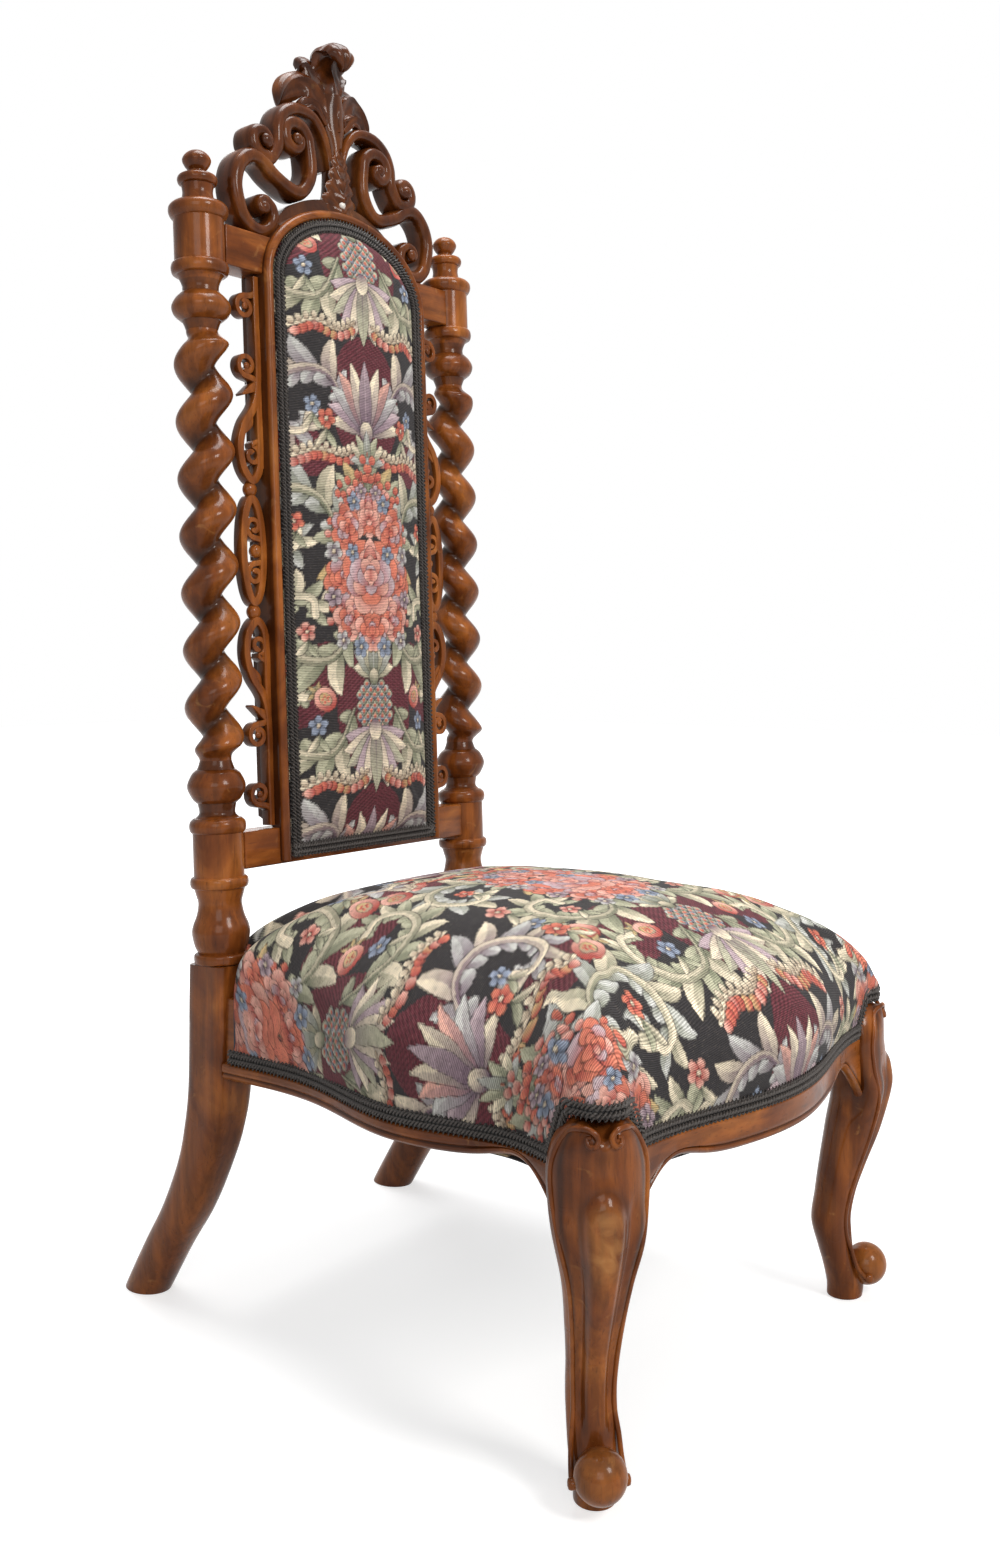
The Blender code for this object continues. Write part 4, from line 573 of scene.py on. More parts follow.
def makePanelFrame(railWood, stileWood):
    front, back, spring, wingTop = panel["front"], panel["back"], panel["spring"], panel["wingTop"]
    crownAngle = math.asin((wingTop - spring) / panel["rise"])
    crown = [archPoint(crownAngle + (math.pi - 2 * crownAngle) * i / 40, 0.0005) for i in range(41)]
    opening = [archPoint(math.pi * i / 48, panel["width"]) for i in range(49)]
    reach = chair["postX"] - panel["drum"] * 0.8
    outline = [(reach, wingTop)] + [tuple(p) for p in crown] + [(-reach, wingTop), (-reach, spring)]
    outline += [tuple(p) for p in reversed(opening)] + [(reach, spring)]
    rail = boardFrom(outline, back, front, 0.0012)
    section = frameSection(front - panel["lap"])
    rows = []
    for i in range(97):
        angle = math.pi * i / 96
        rows.append([(archPoint(angle, inset).x, -depth, archPoint(angle, inset).y) for inset, depth in section])
    joinInto(rail, skin(rows, [frameShade()] * len(rows)))
    addPiece("topRail", rail, railWood, leanBack, ["back_top_rail"])
    low, high = panel["bottom"]
    for side, hand, ending in bothSides:
        rows = []
        for i in range(41):
            z = panel["foot"] + (spring - panel["foot"]) * i / 40
            rows.append([(side * (panel["half"] - inset), -depth, z) for inset, depth in frameSection(back)])
        stile = skin(rows, [frameShade()] * len(rows))
        for vert in stile.verts:  # the stile laps over the bottom rail's face
            if vert.co.z < high and vert.co.y > -front:
                vert.co.y = -front
        addPiece("panelStile" + hand, stile, stileWood, leanBack, ["panel_stile" + ending])
    outline = [(reach, high), (-reach, high), (-reach, low), (reach, low)]
    rail = boardFrom(outline, back, front, 0.0015)
    inner = panel["half"] - panel["width"]
    facing = [(inner, high - 0.0005), (-inner, high - 0.0005), (-inner, panel["foot"]), (inner, panel["foot"])]
    joinInto(rail, boardFrom(facing, 0.0, panel["facing"], 0.0008))
    addPiece("bottomRail", rail, railWood, leanBack, ["back_bottom_rail"])


# Sawn and carved bars along a path in the back's plane

def barAlong(path, widths, section, lift=None, shade=None):
    # section is (share of the half width, depth); lift moves the bar's face forward along the path
    rows = []
    for i, point in enumerate(path):
        along = heading(path, i)
        side = Vector((-along.y, along.x))
        share = i / (len(path) - 1)
        half = spread(widths, share) / 2
        push = spread(lift, share) if lift else 0.0
        places = [(point + side * half * across, depth) for across, depth in section]
        rows.append([(place.x, -depth - push, place.y) for place, depth in places])
    return skin(rows, [shade or [0.0] * len(section)] * len(rows))


def spiral(centre, radii, start, sweep, count):
    points = []
    for i in range(count + 1):
        angle = math.radians(start + sweep * i / count)
        points.append(Vector((centre[0] + spread(radii, i / count) * math.cos(angle),
                              centre[1] + spread(radii, i / count) * math.sin(angle))))
    return points


def addBoss(bm, x, z, front, radius, depth):
    # a flattened button at the eye of a scroll
    place = Matrix.Translation((x, -front, z)) @ Matrix.Diagonal((radius, depth, radius, 1.0))
    button = freshMesh()
    bmesh.ops.create_uvsphere(button, u_segments=24, v_segments=12, radius=1.0, matrix=place)
    joinInto(bm, button)


def flipped(bm, axis):
    # a mirrored copy
    copy = bm.copy()
    scale = Vector((1, 1, 1))
    scale[axis] = -1
    bmesh.ops.scale(copy, vec=scale, verts=copy.verts)
    bmesh.ops.reverse_faces(copy, faces=copy.faces)
    return copy


def mirrorAcross(bm, axis):
    return joinInto(bm, flipped(bm, axis))


fret = {
    "start": 0.1088, "reach": 0.0297, "rib": 0.0064, "broad": 1.2, "half": 0.2466, "middle": 0.67145,
    "front": 0.0097, "back": -0.0005,
}


def fretSection(front):
    # a flat bar with eased front edges
    back = fret["back"]
    side = [(0.92, back), (1.0, back + 0.0006), (1.0, front - 0.0010), (0.90, front - 0.0002), (0.78, front)]
    return [(-0.92, back)] + side + [(-across, depth) for across, depth in reversed(side[1:])]


def makeFrets(material):
    rib, reach, half = fret["rib"], fret["reach"], fret["half"]
    edge, out = rib / 2, reach - rib / 2
    ring = 1.45 * rib
    centre = 0.55 * reach

    def at(across, up):
        return Vector((across, up * half))

    def bar(path, widths, share):
        section = fretSection(fret["front"] * share)
        # painted shade on the bar's back and on its sides
        shade = [0.75 if depth < 0.002 else 0.40 if abs(across) == 1.0 else 0.0 for across, depth in section]
        return barAlong(path, [fret["broad"] * width for width in widths], section, shade=shade)

    main = smoothRow([at(edge, 0.995), at(edge, 0.811), at(edge, 0.617), at(0.3 * out, 0.527), at(0.78 * out, 0.454),
                      at(out, 0.377), at(0.9 * out, 0.300), at(0.52 * out, 0.2535), at(0.2 * out, 0.288),
                      at(edge, 0.357), at(edge, 0.454)], 8)
    upper = bar(main, (rib * 0.8, rib, rib, rib * 0.95), 1.0)
    joinInto(upper, bar([at(edge, 0.62), at(edge, 0.30)], (rib * 0.9, rib * 0.9), 0.985))
    for lead, eye, start, sweep in ((0.941, 0.880, 90, -400), (0.6045, 0.665, -90, 400)):
        path = [at(edge * 0.6, lead), at(centre * 0.5, lead + (eye - lead) * 0.28)]
        path += spiral(at(centre, eye), (ring, ring * 0.98, ring * 0.72, ring * 0.34), start, sweep, 14)
        joinInto(upper, bar(smoothRow(path, 4), (rib * 0.75, rib * 0.62, rib * 0.6, rib * 0.8), 0.97))
        addBoss(upper, centre, eye * half, fret["front"] * 0.86, rib * 0.5, 0.0022)
    leaf = smoothRow([at(edge, 0.600), at(reach * 0.36, 0.586), at(reach * 0.74, 0.560)], 6)
    joinInto(upper, bar(leaf, (rib * 1.5, rib, rib * 0.25), 0.93))
    hook = smoothRow([at(0.80 * out, 0.430), at(0.50 * out, 0.458), at(0.46 * out, 0.503), at(0.26 * out, 0.512)], 6)
    joinInto(upper, bar(hook, (rib * 0.8, rib * 0.6, rib * 0.35), 0.91))
    for lead, eye, start, sweep, across in ((0.3995, 0.345, 100, 380, 0.44), (0.0405, 0.085, -80, 400, 0.45)):
        path = [at(edge, lead)]
        path += spiral(at(reach * across, eye), (1.45 * rib, 1.15 * rib, 0.75 * rib, 0.3 * rib), start, sweep, 12)
        joinInto(upper, bar(smoothRow(path, 4), (rib * 0.7, rib * 0.55, rib * 0.75), 0.95))
    addBoss(upper, reach * 0.47, 0.221 * half, fret["front"] * 0.5, rib * 1.1, 0.0058)
    bm = mirrorAcross(upper, 2)
    turns = [2 * math.pi * i / 64 for i in range(65)]
    oval = [Vector((reach / 2 + (reach / 2 - edge) * math.cos(turn), (0.199 * half - edge) * math.sin(turn)))
            for turn in turns]
    joinInto(bm, bar(oval, (rib, rib), 0.99))
    addBoss(bm, 1.5 * rib, 0.0, fret["front"] * 0.5, rib * 0.95, 0.0056)
    bmesh.ops.translate(bm, vec=(fret["start"], 0, fret["middle"]), verts=bm.verts)
    left = flipped(bm, 0)
    addPiece("fretRight", bm, material, leanBack, ["fret_right"])
    addPiece("fretLeft", left, material, leanBack, ["fret_left"])


crest = {
    "rib": 0.0138, "front": 0.0130, "back": -0.0125, "top": 1.1595, "vein": 0.0013, "spine": 0.0018,
    "stud": 0.0037, "studAt": (0.0, -0.0125, 1.0062),
    # eyes of the scrolls, and the runs of the two bars between them
    "eyes": {"foot": (0.1005, 0.9810), "inner": (0.0560, 1.0545), "outer": (0.0955, 1.0430)},
    "lower": [(0.1305, 0.9960), (0.1255, 1.0140), (0.1130, 1.0255), (0.0985, 1.0250), (0.0830, 1.0150),
              (0.0610, 1.0070), (0.0465, 1.0100), (0.0355, 1.0290)],
    "upper": [(0.0860, 1.0310), (0.0770, 1.0455), (0.0755, 1.0620), (0.0680, 1.0760), (0.0520, 1.0850),
              (0.0310, 1.0840), (0.0175, 1.0720), (0.0105, 1.0560), (0.0075, 1.0400)],
    # each leaf: spine, half widths, lobes, depth of the notches, hollow, bend of the edges, thickness, lean of the face
    "leaves": [
        dict(points=[(0.003, -0.001, 1.088), (0.013, 0.000, 1.107), (0.027, 0.002, 1.1180), (0.041, 0.005, 1.1160),
                     (0.0515, 0.007, 1.1055), (0.0590, 0.008, 1.0905)],
             widths=(0.0105, 0.0150, 0.0175, 0.0165, 0.0125, 0.0060), lobes=2.5, notch=0.14, hollow=0.003,
             bow=(0.0, 0.004, 0.005, 0.004), thick=0.0110, lean=(0.0, 0.2, 0.45)),
        dict(points=[(0.010, -0.004, 1.084), (0.022, -0.005, 1.0955), (0.033, -0.004, 1.0970), (0.0405, -0.001, 1.0895),
                     (0.0415, 0.001, 1.078)],
             widths=(0.0065, 0.0085, 0.0085, 0.0070, 0.0040), lobes=1.5, notch=0.12, hollow=0.002,
             bow=(0.0, 0.003), thick=0.0085, lean=(0.0, 0.0, 0.7)),
        dict(points=[(0.003, -0.001, 1.096), (0.0100, 0.002, 1.114), (0.0170, 0.005, 1.1280), (0.0240, 0.008, 1.1370),
                     (0.0300, 0.010, 1.1350)],
             widths=(0.0110, 0.0150, 0.0170, 0.0160, 0.0120), lobes=1.5, notch=0.12, hollow=0.002,
             bow=(0.0, 0.005, 0.006), thick=0.0120, lean=(0.3, 0.0, 0.2)),
    ],
    "middleLeaves": [
        dict(points=[(0.0, -0.007, 1.076), (0.0, -0.006, 1.098), (0.0, -0.002, 1.120), (0.0, 0.001, 1.138),
                     (0.0, -0.003, 1.1500), (0.0, -0.0125, 1.1540), (0.0, -0.0205, 1.1480), (0.0, -0.0205, 1.1385),
                     (0.0, -0.0145, 1.1350)],
             widths=(0.0105, 0.0150, 0.0200, 0.0240, 0.0255, 0.0240, 0.0205, 0.0160, 0.0090), lobes=4.5, notch=0.18,
             hollow=0.002, bow=(0.0, 0.002, 0.006, 0.008, 0.002, -0.004, -0.004, -0.002), thick=0.0105),
        dict(points=[(0.0, -0.0090, 1.0600), (0.0, -0.0110, 1.0430), (0.0, -0.0120, 1.0270), (0.0, -0.0110, 1.0120),
                     (0.0, -0.0095, 0.9990)],
             widths=(0.0050, 0.0120, 0.0165, 0.0220, 0.0260), lobes=5.0, notch=0.24, hollow=0.002,
             bow=(0.0, 0.004), thick=0.0075, blunt=True),
    ],
    # (height, half width)
    "stem": [(0.9965, 0.0280), (1.0120, 0.0150), (1.0350, 0.0105), (1.0600, 0.0092), (1.0800, 0.0140),
             (1.0980, 0.0145), (1.1120, 0.0110)],
}


def crestSection(front, back):
    # a rounded face with a narrow step near each edge
    side = [(0.80, back), (0.96, back + 0.0015), (1.0, back + 0.006), (1.0, front - 0.0086), (0.97, front - 0.0070),
            (0.91, front - 0.0058), (0.87, front - 0.0046), (0.72, front - 0.0022), (0.46, front - 0.0006)]
    left = [(-across, depth) for across, depth in reversed(side)]
    return side + [(0.0, front)] + left


def crestShade():
    # painted shade towards the back and along the step
    return [0.55 if depth < 0 else 0.45 if abs(across) in (0.91, 0.97) else 0.0
            for across, depth in crestSection(1.0, -1.0)]


def leafBlade(points, widths, lobes, notch, hollow, bow, thick, lean=(0.0, 0.0, 0.0), rows=60, across=14, blunt=False):
    # A carved leaf along a curve: its face looks forward, or over by lean; lobed edges bend back by bow, veins run
    # from the rib.
    path = [Vector(point) for point in resample(smoothRow(points, 16), rows)]
    look = Vector((0.0, -1.0, 0.0)) + Vector(lean)
    side = look.cross(path[1] - path[0]).normalized()
    face, shades = [], []
    for j, point in enumerate(path):
        share = j / rows
        ahead = heading(path, j)
        side = (side - ahead * side.dot(ahead)).normalized()
        out = ahead.cross(side).normalized()
        lobe = 1.0 - notch * (0.5 + 0.5 * math.cos(2 * math.pi * (lobes * share + 0.5))) ** 1.6
        tip = 1.0 if blunt else math.sqrt(max(0.0, 1 - max(0.0, (share - 0.86) / 0.14) ** 2))
        half = max(0.0006, spread(widths, share) * lobe * tip)
        row, shade = [], []
        for i in range(2 * across):
            turn = i / across
            over = 1 if turn <= 1.0 else -1  # face or back
            b = (1 - 2 * turn) if over > 0 else (2 * (turn - 1.0) - 1)
            edge = (1 - b * b) ** 0.5
            vein = crest["vein"] * abs(math.sin(math.pi * (lobes * share + 1.6 * abs(b)))) ** 3 * edge
            rib = crest["spine"] * hump(b, 0.12)
            lift = -2 * hollow * (1 - abs(b)) * abs(b) - spread(bow, share) * b * b + over * (rib - vein) * tip
            lift += over * 0.5 * thick * (0.25 + 0.75 * edge) * (0.3 + 0.7 * tip)
            row.append(point + side * half * b + out * lift)
            # painted shade along the veins, and a little over the whole leaf
            shade.append(min(0.8, 0.10 + 420 * vein))
        face.append(row)
        shades.append(shade)
    return skin(face, shades)


def makeCrest(material, pearl):
    rib, front, back, eyes = crest["rib"], crest["front"], crest["back"], crest["eyes"]
    section, shade = crestSection(front, back), crestShade()
    lower = spiral(eyes["foot"], (0.0030, 0.0062, 0.0100, 0.0190, 0.0262), -60, 410, 22)
    lower += [Vector(point) for point in crest["lower"]]
    lower += spiral(eyes["inner"], (0.0185, 0.0150, 0.0095, 0.0032), 180, -380, 16)
    upper = spiral(eyes["outer"], (0.0030, 0.0070, 0.0112, 0.0135), 250, -350, 14)
    upper += [Vector(point) for point in crest["upper"]]
    half = barAlong(smoothRow(lower, 5), [rib * share for share in (0.62, 0.72, 1.0, 1.08, 1.0, 1.02, 0.62)], section,
                    (0.003, 0.001, 0.0, 0.0, 0.0, 0.001, 0.003), shade)
    joinInto(half, barAlong(smoothRow(upper, 5), [rib * share for share in (0.6, 0.85, 1.0, 1.08, 1.0, 0.5)], section,
                            (0.002, 0.0, -0.001, 0.0, -0.001, -0.004), shade))
    for x, z in eyes.values():
        addBoss(half, x, z, front - 0.001, 0.0058, 0.0045)
        addBoss(half, x, z, 0.0, 0.0066, front - 0.001)
    for leaf in crest["leaves"]:
        joinInto(half, leafBlade(**leaf))
    bm = mirrorAcross(half, 0)
    for leaf in crest["middleLeaves"]:
        joinInto(bm, leafBlade(**leaf, rows=110, across=20))
    ring = [2 * math.pi * k / 28 for k in range(28)]
    stem = [[(wide * math.cos(turn), -0.0015 - 0.0105 * math.sin(turn), height) for turn in ring]
            for height, wide in smoothRow(crest["stem"], 6)]
    # the stem in even painted shade
    joinInto(bm, skin(stem, [[0.45] * len(ring)] * len(stem)))
    saddle = []  # sits on the arch of the top rail
    for i in range(61):
        angle = math.radians(38 + 104 * i / 60)
        inner = Vector((panel["half"] * math.cos(angle), panel["spring"] + (panel["rise"] - 0.001) * math.sin(angle)))
        rise = 0.0125 * math.sin(math.pi * i / 60) ** 0.6 + 0.001
        outer = inner + Vector((math.cos(angle), math.sin(angle))) * rise
        saddle.append([(inner.x, 0.0115, inner.y), (inner.x, -0.0110, inner.y), (outer.x, -0.0085, outer.y),
                       (outer.x, 0.0095, outer.y)])
    # the saddle in even painted shade
    joinInto(bm, skin(saddle, [[0.6] * 4] * len(saddle)))
    for vert in bm.verts:
        vert.co.z = min(vert.co.z, crest["top"])
    addPiece("carvedCrest", bm, material, leanBack, ["crest"], 50)
    stud = bmesh.new()
    bmesh.ops.create_uvsphere(stud, u_segments=28, v_segments=16, radius=crest["stud"],
                              matrix=Matrix.Translation(crest["studAt"]))
    addPiece("crestStud", stud, pearl, leanBack)


# Back legs

backLeg = {
    "top": 0.3113, "footY": 0.0990, "half": (0.0208, 0.0223), "foot": (0.0190, 0.0230),
}


def roundedRing(centre, halfOut, halfIn, halfSide, power, count):
    # circle at power 2, squarer above it and a diamond towards 1
    ring = []
    for i in range(count):
        angle = 2 * math.pi * i / count
        along = halfOut if math.cos(angle) > 0 else halfIn
        reach = (abs(math.cos(angle) / along) ** power + abs(math.sin(angle) / halfSide) ** power) ** (-1 / power)
        ring.append((centre + reach * math.cos(angle), reach * math.sin(angle)))
    return ring


def makeBackLegs(material):
    halfX, halfY = backLeg["half"]
    footX, footY = backLeg["foot"]
    pivot = math.tan(chair["rake"]) * (backLeg["top"] - chair["pivot"])
    sweep = backLeg["footY"] - pivot
    # (share of the height, share of the sweep, half width, half depth, squareness)
    stations = [(1.0, 0.0, halfX, halfY, 7.0), (0.90, 0.01, halfX, halfY, 7.0), (0.66, 0.035, halfX, halfY, 6.0),
                (0.535, 0.105, halfX, halfY, 4.5), (0.43, 0.215, halfX, halfY, 3.2),
                (0.287, 0.435, footX + 0.0010, footY + 0.0005, 2.5), (0.155, 0.710, footX + 0.0005, footY, 2.2),
                (0.012, 0.985, footX, footY, 2.0), (0.0, 1.0, footX - 0.0010, footY - 0.0010, 2.0)]
    curve = [Vector((backLeg["top"] * share, pivot + sweep * along, width)) for share, along, width, _, _ in stations]
    heights = smoothRow(curve, 8)
    rest = smoothRow([Vector((depth, power)) for _, _, _, depth, power in stations], 8)
    for side, hand, ending in bothSides:
        rows = []
        for (height, y, width), (depth, power) in zip(heights, rest):
            tilt = math.tan(chair["rake"]) * smoothStep((height / backLeg["top"] - 0.9) / 0.1)
            ring = roundedRing(y, depth, depth, width, power, 48)
            rows.append([(side * chair["postX"] + across, along, max(0.0, height - tilt * (along - y)))
                         for along, across in ring])
        addPiece("backLeg" + hand, skin(rows), material, standUp, ["back_leg" + ending])


# Front legs

frontLeg = {
    "x": 0.206, "y": -0.419, "slim": 0.32, "toe": 0.0185, "toeAt": (0.0160, 0.0265), "toeWear": -0.15,
    # height, centre, outward, inward and sideways half widths, squareness
    "stations": [(0.0, -0.0040, 0.0150, 0.0150, 0.0140, 2.0), (0.0015, -0.0040, 0.0160, 0.0158, 0.0150, 2.0),
                 (0.0120, -0.0040, 0.0165, 0.0160, 0.0155, 2.0), (0.0300, -0.0090, 0.0150, 0.0150, 0.0175, 2.0),
                 (0.0450, -0.0135, 0.0150, 0.0150, 0.0180, 2.0), (0.0690, -0.0187, 0.0160, 0.0160, 0.0182, 2.0),
                 (0.0940, -0.0152, 0.0165, 0.0165, 0.0185, 2.0), (0.1195, -0.0088, 0.0193, 0.0193, 0.0205, 2.0),
                 (0.1540, 0.0010, 0.0235, 0.0237, 0.0245, 1.9), (0.1910, 0.0070, 0.0255, 0.0240, 0.0325, 1.85),
                 (0.2115, 0.0020, 0.0300, 0.0270, 0.0345, 1.75), (0.2305, 0.0, 0.0320, 0.0305, 0.0352, 1.7),
                 (0.2420, 0.0, 0.0322, 0.0305, 0.0342, 1.7), (0.2520, 0.0, 0.0314, 0.0302, 0.0312, 1.75),
                 (0.2600, 0.0, 0.0294, 0.0295, 0.0262, 1.8), (0.2650, 0.0, 0.0250, 0.0275, 0.0190, 1.9),
                 (0.2668, 0.0, 0.0165, 0.0200, 0.0110, 2.0)],
    # the bead along each edge of the leg: (share of the half width across, height), then its scroll on top of the knee
    "bead": [(0.80, 0.062), (0.82, 0.085), (0.84, 0.120), (0.87, 0.155), (0.91, 0.185), (0.94, 0.212), (0.95, 0.232),
             (0.93, 0.247)],
    "scroll": [(0.0225, 0.2612), (0.0155, 0.2655), (0.0085, 0.2648), (0.0046, 0.2600), (0.0066, 0.2552),
               (0.0110, 0.2555), (0.0116, 0.2596), (0.0086, 0.2606)],
    # the bead's lower end round the toe: (along, across, height)
    "cheek": [(0.0115, 0.0188, 0.0190), (0.0065, 0.0184, 0.0235), (0.0005, 0.0176, 0.0320), (-0.0035, 0.0166, 0.0450)],
    "beadRadii": (0.0020, 0.0019, 0.0018, 0.0019, 0.0021, 0.0020, 0.0015),
    # the button at each side of the toe: (along, height), reach across, radii
    "buttonAt": (0.0115, 0.0205), "buttonReach": (0.0120, 0.0195, 0.0212, 0.0218),
    "buttonRadii": (0.0040, 0.0042, 0.0036, 0.0018),
}


def diagonal(side, along, across, height):
    # a point of a front leg: outward along the chair's diagonal, across it, and up
    turn = math.sqrt(0.5)
    return (side * (frontLeg["x"] + turn * (along + across)), frontLeg["y"] - turn * (along - across), height)


def carving(share, height):
    # How far the carving stands proud of the leg's plain form, and how dark it lies: painted shade round the boss, in
    # the grooves and in the hollow under the scrolls, less where it is rubbed. share is 0 on the ridge and 1 at the
    # edge.
    fade = smoothStep((height - 0.036) / 0.03)
    dome = math.hypot(max(0.0, (height - 0.204) / 0.021), share / 0.47)
    ridge = (0.0028 + 0.0019 * hump(height - 0.200, 0.030)) * (1 - smoothStep((dome - 0.50) / 0.50)) * fade
    groove = -0.0030 * hump(share - 0.62, 0.13) * fade * smoothStep((0.228 - height) / 0.030)
    hollow = -0.0034 * hump(share, 0.52) * hump(height - 0.242, 0.016)
    dark = 0.45 * hump(dome - 1.02, 0.16) * fade + 0.75 * hump(share - 0.82, 0.05) * fade
    dark += 0.45 * hump(share, 0.30) * hump(height - 0.250, 0.012)
    rubbed = 0.75 * hump(share, 0.30) * (hump(height - 0.182, 0.016) + 0.6 * hump(height - 0.206, 0.010))
    return ridge + groove + hollow, min(dark, 0.9) - rubbed


def tubeAlong(path, radii, count):
    # a round bar along any path, without twist
    rows = []
    side = heading(path, 0).orthogonal().normalized()
    turns = [2 * math.pi * k / count for k in range(count)]
    for i, point in enumerate(path):
        along = heading(path, i)
        side = (side - along * side.dot(along)).normalized()
        other = along.cross(side)
        radius = spread(radii, i / (len(path) - 1))
        rows.append([point + (side * math.cos(turn) + other * math.sin(turn)) * radius for turn in turns])
    return skin(rows)


def makeFrontLegs(material):
    table = np.array([tuple(row) for row in smoothRow([Vector(row) for row in frontLeg["stations"]], 10)])

    def onFront(across, height):
        # how far out the leg's front lies at a place on it
        centre, out, _, sideways, power = [np.interp(height, table[:, 0], table[:, k]) for k in range(1, 6)]
        return centre + out * (1 - min(abs(across) / sideways, 1.0) ** power) ** (1 / power)

    for side, hand, ending in bothSides:
        rows, shades = [], []
        for height, centre, out, inward, sideways, power in table:
            row, shade = [], []
            above = smoothStep((height - 0.150) / 0.050)
            for along, across in roundedRing(centre, out, inward, sideways, power, 200):
                proud, dark = carving(abs(across) / sideways, height)
                front = smoothStep((along - centre) / (0.25 * out))
                size = math.hypot(along - centre, across)
                grow = (size + proud * front) / size
                ear = 0.0030 * hump(abs(across) - 0.0170, 0.0080) - 0.0075 * hump(across, 0.0065)
                lift = ear * smoothStep((height - 0.240) / 0.027) * front
                slim = 1 - frontLeg["slim"] * smoothStep((centre - along) / (0.6 * inward)) * above
                forward, aside = centre + (along - centre) * grow, across * grow * slim
                row.append(diagonal(side, forward, aside, max(height + lift, 0.0)))
                # painted shade: the carving's own, and more on the leg's back half above the knee
                shade.append(dark * front + 0.45 * (1 - front) * smoothStep((height - 0.150) / 0.060))
            rows.append(row)
            shades.append(shade)
        bm = skin(rows, shades)
        along, height = frontLeg["toeAt"]
        ball = freshMesh()
        worn = ball.verts.layers.float["recess"]
        bmesh.ops.create_uvsphere(ball, u_segments=56, v_segments=32, radius=frontLeg["toe"])
        for vert in ball.verts:
            vert[worn] = frontLeg["toeWear"]
        bmesh.ops.translate(ball, vec=diagonal(side, along, 0.0, height), verts=ball.verts)
        joinInto(bm, ball)
        for turn in (-1, 1):
            path = [Vector(diagonal(side, a, turn * b, z)) for a, b, z in frontLeg["cheek"]]
            for share, z in frontLeg["bead"]:
                across = share * float(np.interp(z, table[:, 0], table[:, 4]))
                path.append(Vector(diagonal(side, onFront(across, z), turn * across, z)))
            for across, z in frontLeg["scroll"]:
                path.append(Vector(diagonal(side, onFront(across, min(z, 0.2600)) - 0.0006, turn * across, z)))
            joinInto(bm, tubeAlong(smoothRow(path, 7), frontLeg["beadRadii"], 12))
            along, height = frontLeg["buttonAt"]
            button = [Vector(diagonal(side, along, turn * reach, height)) for reach in frontLeg["buttonReach"]]
            joinInto(bm, tubeAlong(button, frontLeg["buttonRadii"], 20))
        addPiece("frontLeg" + hand, bm, material, standUp, ["front_leg" + ending], 60)


# Seat rails

seat = {
    "lipBottom": 0.2165, "lipTop": 0.2305, "railTop": 0.2850, "thick": 0.0260, "railEnd": 0.012, "backY": 0.0120,
    "frontSet": 0.0205, "frontBow": 0.0295, "frontShow": 0.0110, "showFrom": 0.019, "showRamp": 0.02,
    "sideSet": (0.0195, 0.0165), "sideBow": 0.0100,
    "hemGap": 0.0003, "shoulder": (0.3060, 0.3270), "crown": 0.3810,
    # at the knees: where they start, the rise of the hem, the drop and the arch of the rails' lower edge
    "kneeSide": 0.0250, "kneeRise": 0.0400, "kneeLead": 0.005, "kneeRamp": 0.0220, "kneeDrop": 0.0220,
    "kneeCurve": 0.0460, "kneeArch": 0.0080, "archAt": (0.045, 0.030),
}


def frontEdge(x):
    end = frontLeg["x"] - seat["kneeSide"]
    return frontLeg["y"] - seat["frontSet"] - seat["frontBow"] * (1 + math.cos(math.pi * min(abs(x) / end, 1.0))) / 2


def sideEdge(y):
    share = min(max(y / (frontLeg["y"] + seat["kneeSide"]), 0.0), 1.0)
    atBack, atFront = chair["postX"] + seat["sideSet"][0], frontLeg["x"] + seat["sideSet"][1]
    return atBack + (atFront - atBack) * share - seat["sideBow"] * math.sin(3 * math.pi * share ** 1.36)


def railSection(show):
    # (inset, height): a bead along the lower edge, a quirk, the show wood's rounded face, the tacking face
    low, high, top = seat["lipBottom"], seat["lipTop"] + show, seat["railTop"]
    bead = [(seat["thick"], 0.005), (0.0090, 0.005), (0.0086, 0.0010), (0.0070, -0.0002), (0.0045, -0.0003),
            (0.0022, 0.0007), (0.0008, 0.0025), (0.0009, 0.0042), (0.0020, 0.0052), (0.0022, 0.0057), (0.0012, 0.0064),
            (0.0003, 0.0078), (0.0, 0.0100)]
    face = [(0.0003, high - 0.0016), (0.0014, high - 0.0004), (0.0055, high), (0.0055, top), (seat["thick"], top)]
    return [(inset, low + up) for inset, up in bead] + face


def makeRail(name, path, away, material, node, show=0.0):
    # away is the distance to the nearest front leg, where the lower edge curves down into the knee
    middle = Vector((0.0, frontLeg["y"] / 2))
    section = railSection(show)
    archAt, archWidth = seat["archAt"]
    quirk = seat["lipBottom"] + 0.0054
    # painted shade in the quirk above the bead
    shade = [0.8 if abs(height - quirk) < 0.0006 else 0.0 for _, height in section]
    rows = []
    for i, point in enumerate(path):
        along = heading(path, i)
        inward = Vector((-along.y, along.x))
        if inward.dot(middle - point) < 0:
            inward = -inward
        drop = seat["kneeDrop"] * max(0.0, 1 - away(point) / seat["kneeCurve"]) ** 2.2
        drop -= seat["kneeArch"] * hump(away(point) - archAt, archWidth)
        row = []
        for k, (inset, height) in enumerate(section):
            place = point + inward * inset
            sink = drop * min(1.0, max(0.0, (seat["lipTop"] - height) / 0.009)) * (k > 1)  # the underside stays level
            row.append((place.x, place.y, height - sink))
        rows.append(row)
    addPiece(name, skin(rows, [shade] * len(rows)), material, standUp, [node])


